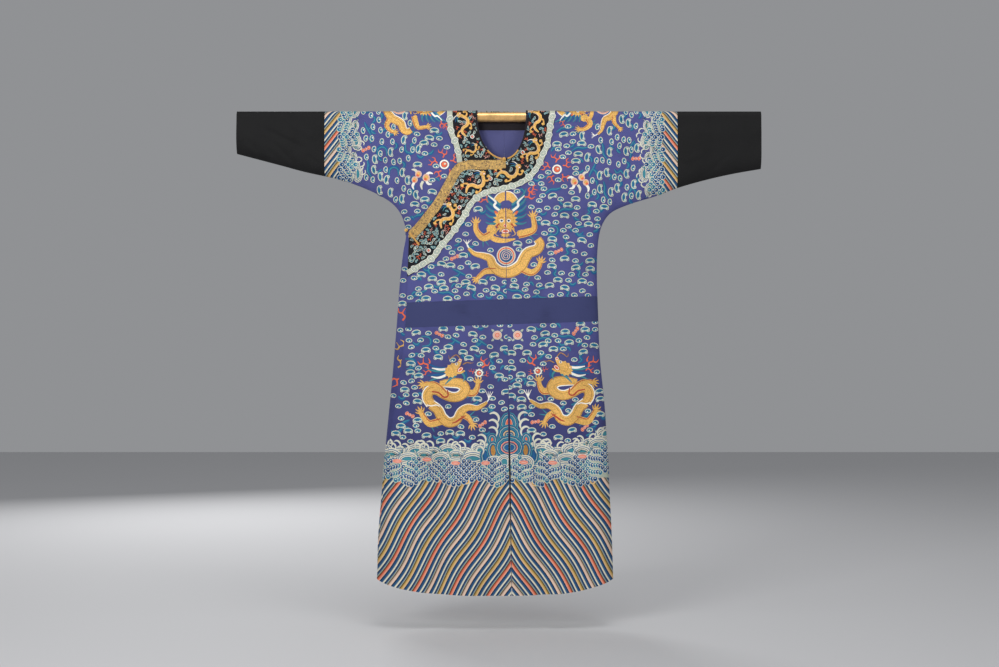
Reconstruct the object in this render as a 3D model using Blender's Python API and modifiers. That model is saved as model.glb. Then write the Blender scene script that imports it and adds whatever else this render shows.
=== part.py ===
"""A tapestry-woven dragon robe hung flat on a brass rod that runs through both sleeves.

Metres, +Z up, the wearer's left at +X and the front at -Y. The origin is the middle of the
rod's axis. A place on the cloth is given by x, by its drop below the rod's axis (a drop under
zero is on the roll over the rod), and by its lift off the base layer along the cloth's normal.
"""

import math

import bmesh
import bpy
import numpy as np

# The rod, and the cloth that rolls over it
ROD_RADIUS = 0.0140
ROD_ENDS = (-0.745, 0.733)
ROD_CHAMFER = 0.0015
ROD_SIDES = 32
CLOTH = 0.0016
SEAM = 0.0003
ROLL = ROD_RADIUS + 0.0007 + CLOTH
FOLD_TOP = -(ROLL * math.pi / 2 - SEAM / 2)

# The garment's silhouette on each side, from sleeve end to hem: distance out, drop
RIGHT_OUTLINE = (
    (0.757, 0.106),
    (0.643, 0.136),
    (0.565, 0.157),
    (0.505, 0.170),
    (0.4535, 0.182),
    (0.393, 0.204),
    (0.3444, 0.2267),
    (0.310, 0.250),
    (0.2890, 0.2760),
    (0.2775, 0.305),
    (0.2727, 0.340),
    (0.281, 0.390),
    (0.290, 0.468),
    (0.2985, 0.583),
    (0.3128, 0.755),
    (0.3300, 0.930),
    (0.3444, 1.099),
    (0.3530, 1.214),
    (0.3550, 1.322),
)
LEFT_OUTLINE = (
    (0.745, 0.149),
    (0.665, 0.163),
    (0.5855, 0.181),
    (0.505, 0.204),
    (0.445, 0.2267),
    (0.370, 0.2497),
    (0.3186, 0.2727),
    (0.2935, 0.303),
    (0.2813, 0.3415),
    (0.2760, 0.400),
    (0.2755, 0.468),
    (0.2784, 0.554),
    (0.2840, 0.690),
    (0.2985, 0.841),
    (0.3100, 1.042),
    (0.3186, 1.214),
    (0.3220, 1.322),
)
ARMPITS = {-1: 0.340, 1: 0.360}
SLEEVE_SEAM = 0.505
SLEEVE_FROM = 0.19
HEM_MIDDLE = 1.362
HEM_CORNER = 1.322
HEM_HALF = 0.339
HEM_CENTRE = -0.016
HEM_BEND = 3.3

# Lines across the body
NECK_X = 0.010
NECK_HALF = {-1: 0.0775, 1: 0.0615}
NECK_DEPTH = {-1: 0.1205, 1: 0.0040}
SEAM_AT_ROD = 0.008
SEAM_SHIFT = 0.0165
BAND_TOP = 0.524
BAND_BOTTOM = 0.5955
BAND_TILT = 0.034
VENT_TOP = 0.790
VENT_WIDEST = 1.000
VENT_GAP = 0.0042
VENT_HEM_GAP = 0.0018
VENT_CLOSING_AFTER = 0.06
VENT_CLOSING_OVER = 0.22

# The flap's free edge: along its top from neck to armpit, then down its side (x, drop)
FLAP_TOP = (
    (0.0140, 0.1216),
    (-0.0100, 0.1258),
    (-0.0574, 0.1269),
    (-0.0918, 0.1272),
    (-0.1211, 0.1345),
    (-0.1409, 0.1541),
    (-0.1656, 0.1986),
    (-0.1903, 0.2431),
    (-0.2127, 0.2727),
    (-0.2353, 0.3025),
    (-0.2595, 0.3290),
)
FLAP_SIDE = (
    (-0.2595, 0.329),
    (-0.2680, 0.525),
    (-0.2735, 0.630),
    (-0.2840, 0.715),
    (-0.2956, 0.789),
    (-0.3100, 0.887),
    (-0.3270, 1.013),
    (-0.3387, 1.128),
    (-0.3465, 1.230),
    (-0.3520, 1.322),
)
FLAP_GAP = 0.0015
LAP = FLAP_GAP + CLOTH
LAP_WIDTH = 0.16
LAP_START = 0.012
LAP_TOP = 0.02
LAP_RISE = 0.09

# How far each face of the hanging garment stands out: from drop, to drop, gain
BODY_DEPTH = (
    (0.00, 0.30, 0.017),
    (0.10, 0.70, 0.013),
    (0.50, 1.40, 0.027),
)
BACK_SHARE = 0.86
SLEEVE_DEPTH = 0.004
SLEEVE_EDGE = 0.050
SLEEVE_SWELL = 0.06
BODY_EDGE = 0.110
BODY_HALF = 0.16
BODY_FADE = 0.22
ARM_LEVEL = 0.24
ARM_FADE = 0.14

# The largest folds: layer, x and drop at the top, x and drop at the bottom, width, height
FRONT, BACK = -1, 1
FOLDS = (
    (FRONT, 0.112, 0.72, 0.122, 1.50, 0.026, -0.0100),
    (FRONT, 0.165, 0.80, 0.172, 1.50, 0.034, 0.0060),
    (FRONT, 0.235, 0.66, 0.262, 1.50, 0.028, -0.0070),
    (FRONT, 0.205, 0.26, 0.214, 0.52, 0.026, -0.0030),
    (FRONT, -0.150, 0.76, -0.176, 1.50, 0.036, -0.0110),
    (FRONT, -0.085, 0.84, -0.096, 1.50, 0.040, 0.0050),
    (FRONT, -0.235, 0.84, -0.262, 1.50, 0.028, -0.0060),
    (BACK, 0.105, 0.66, 0.128, 1.50, 0.032, -0.0100),
    (BACK, 0.212, 0.50, 0.248, 1.50, 0.030, -0.0070),
    (BACK, -0.120, 0.60, -0.150, 1.50, 0.034, -0.0110),
    (BACK, -0.222, 0.54, -0.262, 1.50, 0.030, -0.0060),
    (BACK, 0.020, 0.16, 0.026, 0.70, 0.050, 0.0040),
)
FOLD_START = 0.16
FOLD_END = 0.08

# Pieces that lie on the cloth, or line it
GAP = 0.0006
BULK = 0.0008
BULK_FROM = 0.19
BULK_OVER = 0.05
YOKE = 0.0010
TRIM = 0.0010
LOOP = 0.0012
BRAID_WIDTH = 0.027
BRAID_START = 0.0138
BINDING_WIDTH = 0.0052
LOOP_WIDTH = 0.0046
CORD_TURNS = {1: (7, 38), -1: (5, 38)}
CORD_SHIFT = {1: (0.0015, 0.0), -1: (-0.0010, 0.0)}
CORD_CLIMB_FROM = -0.038
CORD_CLIMB_OVER = 0.026
KNOT_RADIUS = 0.0050
THROAT_KNOT = (0.0086, 0.1245)
SIDE_KNOT = (-0.2675, 0.3250)
SIDE_LOOP = ((-0.2575, 0.3335), (-0.2307, 0.3694))
UNDERLAP_SHARES = (1.45, 1.85, 2.0)
LINING = 0.0010
LINING_HALF = 0.110
LINING_TOP = 0.0095
FACING_BOTTOM = 0.0360
LINING_BOTTOM = 0.200

YOKE_AT_SHOULDER = 0.1554

# The yoke's outer edge on the overlapping side, from the shoulder to the armpit (x, drop)
YOKE_EDGE = (
    (YOKE_AT_SHOULDER, 0.0000),
    (0.1478, 0.0373),
    (0.1406, 0.0832),
    (0.1291, 0.1090),
    (0.1148, 0.1435),
    (0.0947, 0.1722),
    (0.0718, 0.1923),
    (0.0344, 0.2095),
    (-0.0258, 0.2239),
    (-0.0545, 0.2353),
    (-0.0775, 0.2554),
    (-0.1005, 0.2956),
    (-0.1378, 0.3473),
    (-0.1693, 0.3846),
    (-0.1837, 0.4075),
    (-0.2210, 0.4334),
    (-0.2640, 0.4580),
)
RIGHT_YOKE_EDGE = (
    (-YOKE_AT_SHOULDER, 0.0000),
    (-0.1540, 0.0200),
    (-0.1500, 0.0500),
    (-0.1360, 0.0830),
    (-0.1290, 0.1150),
    (-0.1265, 0.1335),
)
BACK_YOKE_DEPTH = 0.085
UNDER_STOP = math.radians(16)
OVER_STOP = math.radians(5)

# How far in from an edge the cloth turns: at the armpit, at the flap, and as a skirt's share
ARMPIT_TURN = 0.095
FLAP_TURN = 0.045
SKIRT_TURN_SHARE = 0.28

# How finely the cloth is divided
FLAP_ROWS = 7
YOKE_ROWS = 6
YOKE_UNDER_ROWS = 3
BRAID_ROWS = 3
LINING_ROWS = 5
NECK_STEPS = 9
BACK_NECK_STEPS = 5
CORD_STEPS = 6
ROLL_ROWS = 4
SHOULDER_ROWS = 8
CHEST_ROWS = 3
BAND_ROWS = 2
SKIRT_ROWS = 9
SLEEVE_COLUMNS = 6
EDGE_STEPS = 4
NECK_TURNS = np.radians([20, 44, 66])

# Seams hold these coordinates of a panel's rim
HOLD_X, HOLD_Y, HOLD_Z = 1, 2, 4

# Colour, metallic, roughness
FINISHES = {
    "woven_silk": ((0.075, 0.085, 0.28), 0.0, 0.8),
    "plain_band": ((0.045, 0.058, 0.17), 0.0, 0.8),
    "black_silk": ((0.018, 0.018, 0.019), 0.0, 0.7),
    "yoke_silk": ((0.020, 0.025, 0.035), 0.0, 0.8),
    "gold_braid": ((0.55, 0.36, 0.10), 0.4, 0.5),
    "dark_binding": ((0.025, 0.018, 0.022), 0.0, 0.8),
    "gold_cord": ((0.72, 0.45, 0.16), 0.4, 0.5),
    "blue_lining": ((0.060, 0.060, 0.25), 0.0, 0.6),
    "brass": ((0.80, 0.52, 0.20), 1.0, 0.3),
}


def smooth_line(points, per_span=14):
    """A dense line through the points, as a Catmull-Rom curve."""
    p = np.array(points, float)
    p = np.vstack([2 * p[0] - p[1], p, 2 * p[-1] - p[-2]])
    t = np.linspace(0, 1, per_span, endpoint=False)[:, None]
    spans = []
    for a, b, c, d in zip(p, p[1:], p[2:], p[3:]):
        bend = (2 * a - 5 * b + 4 * c - d) * t**2 + (3 * b - a - 3 * c + d) * t**3
        spans.append(b + 0.5 * ((c - a) * t + bend))
    return np.vstack([*spans, p[-2]])


def ease(t):
    t = np.clip(t, 0, 1)
    return t * t * (3 - 2 * t)


def spaced(line, count):
    """That many points evenly along a line."""
    line = np.array(line, float)
    along = np.concatenate([[0], np.cumsum(np.linalg.norm(np.diff(line, axis=0), axis=1))])
    at = np.linspace(0, along[-1], count)
    return np.column_stack([np.interp(at, along, line[:, i]) for i in range(2)])


def nudged(line, distance):
    """A line moved sideways by a distance, square to its run."""
    run = np.gradient(line, axis=0)
    run /= np.linalg.norm(run, axis=1)[:, None]
    return line + distance * np.column_stack([-run[:, 1], run[:, 0]])


def turn_in(reach):
    """Distances in from an edge where the cloth turns, closer beside the edge."""
    return reach * (1 - np.cos(np.linspace(0, math.pi / 2, EDGE_STEPS + 1)))


SIDES = {-1: smooth_line(RIGHT_OUTLINE), 1: smooth_line(LEFT_OUTLINE)}
FLAP_TOP_LINE = smooth_line(FLAP_TOP)
FLAP_SIDE_LINE = smooth_line(FLAP_SIDE)
YOKE_LINE = smooth_line(YOKE_EDGE)
BRAID_LINE = nudged(FLAP_TOP_LINE, -BRAID_WIDTH)


def edge_lines():
    """Each side's silhouette, carried on past sleeve end and hem so that those stay open."""
    lines = {}
    for side, line in SIDES.items():
        start = line[0] + 6 * (line[0] - line[4])
        end = line[-1] + (0.0, 0.12)
        lines[side] = spaced(np.vstack([start, line, end]) * (side, 1), 520)
    return lines


EDGES = edge_lines()


def edge_distance(x, drop):
    """How far each place is from the silhouette, and the direction in from it."""
    places = np.column_stack([np.ravel(x), np.ravel(drop)])
    near = np.empty(len(places))
    inward = np.empty((len(places), 2))
    for side, line in EDGES.items():
        mine = places[:, 0] >= 0 if side > 0 else places[:, 0] < 0
        if not mine.any():
            continue
        p = places[mine]
        run = line[1:] - line[:-1]
        share = ((p[:, None] - line[:-1]) * run).sum(2) / (run**2).sum(1)
        foot = line[:-1] + np.clip(share, 0, 1)[..., None] * run
        gaps = np.linalg.norm(p[:, None] - foot, axis=2)
        best = gaps.argmin(1)
        rows = np.arange(len(p))
        square = np.column_stack([-run[best, 1], run[best, 0]]) * side
        square /= np.linalg.norm(square, axis=1)[:, None]
        offset = p - foot[rows, best]
        gap = gaps[rows, best]
        clear = gap > 1e-5
        square[clear] = offset[clear] / gap[clear, None]
        near[mine] = gap
        inward[mine] = square
    shape = np.shape(x)
    return near.reshape(shape), inward[:, 0].reshape(shape), inward[:, 1].reshape(shape)


def in_body(x, drop):
    """1 in the body of the robe and 0 in its sleeves."""
    near = 1 - ease((np.abs(x) - BODY_HALF) / BODY_FADE)
    return np.maximum(near, ease((drop - ARM_LEVEL) / ARM_FADE))


def fold_height(x, drop, face):
    total = np.zeros(np.shape(x))
    for layer, top_x, top, low_x, low, width, height in FOLDS:
        if layer == face:
            share = np.clip((drop - top) / (low - top), 0, 1)
            across = (x - top_x - (low_x - top_x) * share) / width
            grown = ease((drop - top) / FOLD_START) * ease((low - drop) / FOLD_END)
            total = total + height * np.exp(-(across**2)) * grown
    return total


def half_depth(x, drop, near, face):
    """How far the base layer stands off the middle plane."""
    body = sum(gain * ease((drop - a) / (b - a)) for a, b, gain in BODY_DEPTH)
    body = body * (BACK_SHARE if face == BACK else 1)
    share = in_body(x, drop)
    full = share * body + (1 - share) * SLEEVE_DEPTH * ease(drop / SLEEVE_SWELL)
    full = full + fold_height(x, drop, face) + ROLL - SEAM / 2
    reach = SLEEVE_EDGE + (BODY_EDGE - SLEEVE_EDGE) * share
    t = np.clip(near / reach, 0, 1)
    return SEAM / 2 + full * np.sqrt(1 - (1 - t) ** 2)


def cloth(x, drop, lift, face):
    """World points of places on the cloth."""
    x, drop, lift = np.broadcast_arrays(*(np.asarray(v, float) for v in (x, drop, lift)))
    flat = np.maximum(drop, 0)
    near, in_x, in_drop = edge_distance(x, flat)
    step, inner = 1e-4, np.maximum(near, 2e-5)

    def depth_at(dx, dd):
        return half_depth(x + dx, np.maximum(flat + dd, 0), inner, face)

    by_near = (half_depth(x, flat, inner * 1.01, face) - depth_at(0, 0)) / (inner * 0.01)
    by_x = (depth_at(step, 0) - depth_at(-step, 0)) / (2 * step) + by_near * in_x
    by_drop = (depth_at(0, step) - depth_at(0, -step)) / (2 * step) + by_near * in_drop
    by_drop = by_drop * (flat > 2 * step)
    normal = np.stack([-by_x, np.full(x.shape, float(face)), by_drop], -1)
    normal /= np.linalg.norm(normal, axis=-1, keepdims=True)
    point = np.stack([x, face * half_depth(x, flat, near, face), -flat], -1)

    turn = -np.minimum(drop, 0) / ROLL
    rolled = np.stack([0 * x, face * np.cos(turn), np.sin(turn)], -1)
    over = (drop < 0)[..., None]
    point = np.where(over, ROLL * rolled + np.stack([x, 0 * x, 0 * x], -1), point)
    normal = np.where(over, rolled, normal)
    return point + lift[..., None] * normal


def seam_x(drop):
    """The centre seam, which hangs a little to the wearer's left."""
    return SEAM_AT_ROD + SEAM_SHIFT * np.asarray(drop, float)


def centre_edge(side):
    """x of a panel's centre edge at a drop: half a seam out, and more in the vent."""

    def edge(drop):
        opening = VENT_GAP * ease((drop - VENT_TOP) / (VENT_WIDEST - VENT_TOP))
        past = (drop - VENT_WIDEST - VENT_CLOSING_AFTER) / VENT_CLOSING_OVER
        closing = (VENT_GAP - VENT_HEM_GAP) * ease(past)
        return seam_x(drop) + side * (SEAM + opening - closing) / 2

    return edge


def side_edge(side):
    line = SIDES[side]
    return lambda drop: side * np.interp(drop, line[:, 1], line[:, 0])


def flap_side(drop):
    return np.interp(drop, FLAP_SIDE_LINE[:, 1], FLAP_SIDE_LINE[:, 0])


def drop_on(line):
    """Reads a line's drop at x, for a line that runs towards -x."""
    return lambda x: np.interp(-np.asarray(x, float), -line[:, 0], line[:, 1])


flap_top = drop_on(FLAP_TOP_LINE)
yoke_low = drop_on(YOKE_LINE)
braid_low = drop_on(BRAID_LINE)


def level(drop):
    return lambda x: drop + 0 * x


def band_line(height, seam):
    return lambda x: height - BAND_TILT * x + seam


above_band = band_line(BAND_TOP, -SEAM / 2)
band_top = band_line(BAND_TOP, SEAM / 2)
band_low = band_line(BAND_BOTTOM, -SEAM / 2)
below_band = band_line(BAND_BOTTOM, SEAM / 2)


def hem(x):
    share = np.clip(np.abs(x - HEM_CENTRE) / HEM_HALF, 0, 1.05)
    return HEM_MIDDLE - (HEM_MIDDLE - HEM_CORNER) * share**HEM_BEND


def outer_lift(x, drop):
    """The front's outer layer rises from the side seam to lie over the underlap."""
    across = 1 - ease((np.asarray(x, float) - LAP_START) / LAP_WIDTH)
    return LAP * across * ease((drop - LAP_TOP) / LAP_RISE)


def flat_lift(x, drop):
    return 0.0 * np.asarray(x, float)


def neck_places(side, face, turns):
    """Places on the neckline: a turn of 0 is its lowest point, a quarter turn the shoulder."""
    x = NECK_X + side * NECK_HALF[side] * np.sin(turns)
    return np.column_stack([x, NECK_DEPTH[face] * np.cos(turns)])


def rolled(line):
    """A line that starts at drop 0, with the roll up to the shoulder fold put before it."""
    up = np.linspace(FOLD_TOP, 0, ROLL_ROWS + 1)[:-1]
    return np.vstack([np.column_stack([np.full(ROLL_ROWS, line[0][0]), up]), line])


def neckline(side, face, count, stop=0.0):
    """The neck's edge from the shoulder fold down to a turn near its lowest point."""
    return rolled(neck_places(side, face, np.linspace(math.pi / 2, stop, count)))


def material(name):
    found = bpy.data.materials.get(name)
    if found:
        return found
    colour, metallic, roughness = FINISHES[name]
    made = bpy.data.materials.new(name)
    made.use_nodes = True
    shader = made.node_tree.nodes["Principled BSDF"]
    shader.inputs["Base Color"].default_value = (*colour, 1)
    shader.inputs["Metallic"].default_value = metallic
    shader.inputs["Roughness"].default_value = roughness
    return made


def panel(name, patches, lift, thickness, face, finish):
    """A closed wall of cloth: a sheet over grids of places, extruded in by its thickness.

    Each patch holds x, drop, and which coordinates a seam holds on the rim, at every point.
    """
    bm = bmesh.new()
    place = bm.verts.layers.float_vector.new("place")
    held = bm.verts.layers.int.new("held")
    for x, drop, hold in patches:
        rows, columns = x.shape
        grid = bmesh.ops.create_grid(bm, x_segments=columns - 1, y_segments=rows - 1, size=0.5)
        spots = cloth(x, drop, lift(x, drop), face)
        for vert in grid["verts"]:
            at = round((vert.co.y + 0.5) * (rows - 1)), round((vert.co.x + 0.5) * (columns - 1))
            vert[place] = (x[at], drop[at], 0)
            vert[held] = int(hold[at])
            vert.co = spots[at]
        faces = {face for vert in grid["verts"] for face in vert.link_faces}
        bmesh.ops.triangulate(bm, faces=sorted(faces, key=lambda f: f.index), quad_method="FIXED")
    bmesh.ops.remove_doubles(bm, verts=bm.verts[:], dist=1e-5)
    made = bmesh.ops.extrude_face_region(bm, geom=bm.faces[:], use_keep_orig=True)["geom"]
    inner = [v for v in made if isinstance(v, bmesh.types.BMVert)]
    x, drop, _ = np.array([v[place] for v in inner]).T
    for vert, spot in zip(inner, cloth(x, drop, lift(x, drop) - thickness, face)):
        hold = vert[held]
        vert.co = [vert.co[axis] if hold & (1 << axis) else spot[axis] for axis in range(3)]
    bmesh.ops.recalc_face_normals(bm, faces=bm.faces[:])
    if bm.calc_volume(signed=True) < 0:
        bmesh.ops.reverse_faces(bm, faces=bm.faces[:])
    mesh = bpy.data.meshes.new(name)
    bm.to_mesh(mesh)
    bm.free()
    mesh.materials.append(material(finish))
    mesh.shade_smooth()
    mesh.set_sharp_from_angle(angle=math.radians(50))
    parts.objects.link(bpy.data.objects.new(name, mesh))


def over(base, *below, own):
    """The lift of a piece's outer face: what is under it and its own thickness.

    Each layer stands a little freer under the arm, where the flap's corner is bulky.
    """
    layers = len(below) + 1
    total = sum(below) + GAP * layers + own
    return lambda x, drop: base(x, drop) + total + layers * BULK * ease((-x - BULK_FROM) / BULK_OVER)


def rims(shape, at_left=0, at_right=0, at_top=0, at_bottom=0):
    hold = np.zeros(shape, int)
    hold[:, 0] |= at_left
    hold[:, -1] |= at_right
    hold[0, :] |= at_top
    hold[-1, :] |= at_bottom
    return hold


def strip(across, top, low, rows, shares, **hold):
    """Places between two lines: across gives x at a drop and a share, the others drop at x."""
    down = np.linspace(0, 1, rows + 1)[:, None]
    tops = lows = across(np.array([[0.6]]), shares)
    for _ in range(4):
        drop = top(tops) + (low(lows) - top(tops)) * down
        x = across(drop, shares)
        tops, lows = x[:1], x[-1:]
    return x, drop, rims(x.shape, **hold)


def between(inner, outer, rows, **hold):
    """Places between two lines of as many points each."""
    share = np.linspace(0, 1, rows + 1)[:, None, None]
    x, drop = np.moveaxis(inner + (outer - inner) * share, -1, 0)
    return x, drop, rims(x.shape, **hold)


def half_across(side):
    """x between the centre edge and the side seam."""
    centre, outer = centre_edge(side), side_edge(side)
    return lambda drop, share: centre(drop) + (outer(drop) - centre(drop)) * share


def flap_across(drop, share):
    """x between the centre edge and the flap's edge, and with a share over 1 to the side."""
    centre, edge, side = centre_edge(-1)(drop), flap_side(drop), side_edge(-1)(drop)
    return centre + (edge - centre) * np.minimum(share, 1) + (side - edge) * np.maximum(share - 1, 0)


def half_shares(side):
    """Shares at which a bodice half has its columns, with one below the neck's corner."""
    inner, outer = float(centre_edge(side)(ARMPITS[side])), float(side_edge(side)(ARMPITS[side]))
    neck = neck_places(side, FRONT, NECK_TURNS)[:, 0]
    corner = NECK_X + side * NECK_HALF[side]
    edge = outer - side * turn_in(ARMPIT_TURN)[::-1]
    middle = np.linspace(corner, edge[0], 5)[:-1]
    return (np.concatenate([[inner], neck, middle, edge]) - inner) / (outer - inner)


def flap_shares():
    inner, outer = float(centre_edge(-1)(ARMPITS[-1])), FLAP_TOP[-1][0]
    neck = neck_places(-1, FRONT, NECK_TURNS)[:, 0]
    corner = NECK_X - NECK_HALF[-1]
    edge = outer + turn_in(FLAP_TURN)[::-1]
    middle = np.linspace(corner, edge[0], 7)[:-1]
    return (np.concatenate([[inner], neck, middle, edge]) - inner) / (outer - inner)


def skirt_shares():
    edge = 1 - turn_in(SKIRT_TURN_SHARE)[::-1]
    return np.concatenate([np.linspace(0, edge[0], 10)[:-1], edge])


def under_neck(side, face, columns, left):
    """The columns between the centre and the neck's corner, from the neckline to armpit level."""
    centre = centre_edge(side)
    corner = columns[-1]
    start = centre(ARMPITS[side])
    xs, drops = [], []
    for column in columns:
        weight = (corner - column) / (corner - start)
        top = NECK_DEPTH[face]
        for _ in range(6):
            x = corner + (centre(top) - corner) * weight
            reach = min(abs(x - NECK_X) / NECK_HALF[side], 1)
            top = NECK_DEPTH[face] * math.sqrt(1 - reach**2)
        down = np.linspace(top, ARMPITS[side], SHOULDER_ROWS + 1)
        xs.append(corner + (centre(down) - corner) * weight)
        drops.append(down)
    xs, drops = np.array(xs).T, np.array(drops).T
    return xs, drops, rims(xs.shape, at_left=left)


def rows_down(low, rounded):
    """Drops of one column over the roll and down to low, closer there where it turns."""
    even = np.linspace(0, low, SHOULDER_ROWS + 1)
    edge = low - turn_in(min(SLEEVE_EDGE, low * 0.6))[::-1]
    turned = np.concatenate([np.linspace(0, edge[0], SHOULDER_ROWS - EDGE_STEPS + 1), edge[1:]])
    roll = np.linspace(FOLD_TOP, 0, ROLL_ROWS + 1)
    return np.concatenate([roll[:-1], (1 - rounded) * even + rounded * turned])


def shoulder(side, columns):
    """The columns from the neck's corner out to the armpit, and then along the sleeve."""
    line = SIDES[side]
    upper = line[line[:, 1] <= ARMPITS[side] + 1e-9][::-1]
    reach = columns[-1]
    seam = side * (SLEEVE_SEAM - SEAM / 2)
    sleeve = reach + (seam - reach) * np.linspace(0, 1, SLEEVE_COLUMNS + 1)[1:] ** 1.4
    columns_out = np.concatenate([columns, sleeve])
    drops = []
    for x in columns_out:
        under_arm = abs(x) > abs(reach) - 1e-9
        low = float(np.interp(abs(x), upper[:, 0], upper[:, 1])) if under_arm else ARMPITS[side]
        drops.append(rows_down(low, float(ease((abs(x) - SLEEVE_FROM) / (abs(reach) - SLEEVE_FROM)))))
    drops = np.array(drops).T
    xs = np.broadcast_to(columns_out, drops.shape)
    hold = rims(xs.shape, at_right=HOLD_X, at_top=HOLD_Y)
    hold[-1, len(columns) - 1 :] |= HOLD_Y
    return xs, drops, hold


def bodice_half(name, side, face, lift):
    """Half a bodice in one piece with its sleeve, from the shoulder fold to the waist band."""
    shares = half_shares(side)
    across = half_across(side)
    columns = across(np.array([ARMPITS[side]]), shares)
    corner = len(NECK_TURNS) + 1
    chest = strip(
        across,
        level(ARMPITS[side]),
        above_band,
        CHEST_ROWS,
        shares,
        at_left=HOLD_X,
        at_right=HOLD_Y,
        at_bottom=HOLD_Z,
    )
    neck = under_neck(side, face, columns[: corner + 1], HOLD_X)
    patches = (neck, shoulder(side, columns[corner:]), chest)
    panel(name, patches, lift, CLOTH, face, "woven_silk")


def underlap():
    """The wearer's right front in one length, with its sleeve, most of it under the flap."""
    shares = np.concatenate([flap_shares()[1:], UNDERLAP_SHARES])
    columns = flap_across(np.array([ARMPITS[-1]]), shares)
    corner = len(NECK_TURNS)
    lines = (
        (level(ARMPITS[-1]), above_band, CHEST_ROWS),
        (above_band, below_band, BAND_ROWS),
        (below_band, hem, SKIRT_ROWS),
    )
    lower = [strip(flap_across, *line, shares, at_right=HOLD_Y) for line in lines]
    upper = [under_neck(-1, FRONT, columns[: corner + 1], 0), shoulder(-1, columns[corner:])]
    panel("front_right_underlap", upper + lower, flat_lift, CLOTH, FRONT, "woven_silk")


def flap_lift(x, drop):
    return LAP + flat_lift(x, drop)


def bodices():
    bodice_half("front_left_bodice", 1, FRONT, outer_lift)
    bodice_half("back_left_bodice", 1, BACK, flat_lift)
    bodice_half("back_right_bodice", -1, BACK, flat_lift)
    flap = strip(
        flap_across,
        flap_top,
        above_band,
        FLAP_ROWS,
        flap_shares(),
        at_left=HOLD_X,
        at_bottom=HOLD_Z,
    )
    panel("front_flap_bodice", (flap,), flap_lift, CLOTH, FRONT, "woven_silk")


def bands_and_skirts():
    """The plain band sewn in at the waist and the skirts below it, all split at the centre."""
    for name, side, face, across, shares, lift, seam in (
        ("front_left", 1, FRONT, half_across(1), skirt_shares(), outer_lift, HOLD_Y),
        ("front_flap", -1, FRONT, flap_across, flap_shares(), flap_lift, 0),
        ("back_left", 1, BACK, half_across(1), skirt_shares(), flat_lift, HOLD_Y),
        ("back_right", -1, BACK, half_across(-1), skirt_shares(), flat_lift, HOLD_Y),
    ):
        seams = {"at_left": HOLD_X, "at_right": seam, "at_top": HOLD_Z}
        band = strip(across, band_top, band_low, BAND_ROWS, shares, at_bottom=HOLD_Z, **seams)
        skirt = strip(across, below_band, hem, SKIRT_ROWS, shares, **seams)
        panel(name + "_band", (band,), lift, CLOTH, face, "plain_band")
        panel(name + "_skirt", (skirt,), lift, CLOTH, face, "woven_silk")


def sleeve_ends():
    """Plain black silk sleeve ends, folded over the rod and seamed underneath."""
    for side, side_name in ((-1, "right"), (1, "left")):
        line = SIDES[side][::-1]
        columns = side * np.linspace(SLEEVE_SEAM + SEAM / 2, line[-1, 0], SLEEVE_COLUMNS + 1)
        low = np.interp(np.abs(columns), line[:, 0], line[:, 1])
        drops = np.array([rows_down(under, 1.0) for under in low]).T
        xs = np.broadcast_to(columns, drops.shape)
        hold = rims(xs.shape, at_left=HOLD_X, at_top=HOLD_Y, at_bottom=HOLD_Y)
        for face, face_name in ((FRONT, "front"), (BACK, "back")):
            name = f"sleeve_end_{side_name}_{face_name}"
            panel(name, ((xs, drops, hold),), flat_lift, CLOTH, face, "black_silk")


def yokes():
    """The black-ground yoke, sewn on round the neck and along the flap to the armpit."""
    flap = strip(flap_across, flap_top, yoke_low, YOKE_ROWS, flap_shares())
    seam_line = np.column_stack([flap[0][:, 0], flap[1][:, 0]])
    neck = neckline(1, FRONT, NECK_STEPS)
    outer_part = YOKE_LINE[YOKE_LINE[:, 0] > seam_line[-1, 0]]
    outer = rolled(spaced(np.vstack([outer_part, seam_line[-1]]), NECK_STEPS))
    x, drop, hold = between(neck, outer, YOKE_ROWS, at_left=HOLD_Y)
    x[:, -1], drop[:, -1] = seam_line.T
    lift = over(outer_lift, own=YOKE)
    panel("yoke_front_over", ((x, drop, hold), flap), lift, YOKE, FRONT, "yoke_silk")

    neck = neckline(-1, FRONT, NECK_STEPS, stop=UNDER_STOP)
    edge = smooth_line(RIGHT_YOKE_EDGE)
    foot = np.linspace(edge[-1, 0], neck[-1, 0], NECK_STEPS // 3 + 1)[1:]
    down = rolled(spaced(edge, NECK_STEPS - NECK_STEPS // 3))
    outer = np.vstack([down, np.column_stack([foot, flap_top(foot)])])
    outer[:, 1] = np.minimum(outer[:, 1], flap_top(outer[:, 0]) - 2 * GAP)
    grid = between(neck, outer, YOKE_UNDER_ROWS, at_left=HOLD_Y)
    panel("yoke_front_under", (grid,), over(flat_lift, own=YOKE), YOKE, FRONT, "yoke_silk")

    turns = np.linspace(math.pi / 2, 0, BACK_NECK_STEPS)
    halves = []
    for side in (1, -1):
        across = side * YOKE_AT_SHOULDER * np.sin(turns)
        bow = np.column_stack([across, BACK_YOKE_DEPTH * np.cos(turns)])
        halves.append((neckline(side, BACK, BACK_NECK_STEPS), rolled(bow)))
    inner = np.vstack([halves[0][0], halves[1][0][::-1][1:]])
    outer = np.vstack([halves[0][1], halves[1][1][::-1][1:]])
    grid = between(inner, outer, YOKE_ROWS, at_left=HOLD_Y, at_right=HOLD_Y)
    panel("yoke_back", (grid,), over(flat_lift, own=YOKE), YOKE, BACK, "yoke_silk")


def braid():
    """The woven gold braid sewn along the flap's edge, from the throat to the armpit."""

    def across(drop, share):
        return BRAID_START + (flap_side(drop) - BRAID_START) * share

    grid = strip(across, flap_top, braid_low, BRAID_ROWS, flap_shares())
    panel("gold_braid", (grid,), over(outer_lift, YOKE, own=TRIM), TRIM, FRONT, "gold_braid")


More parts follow.
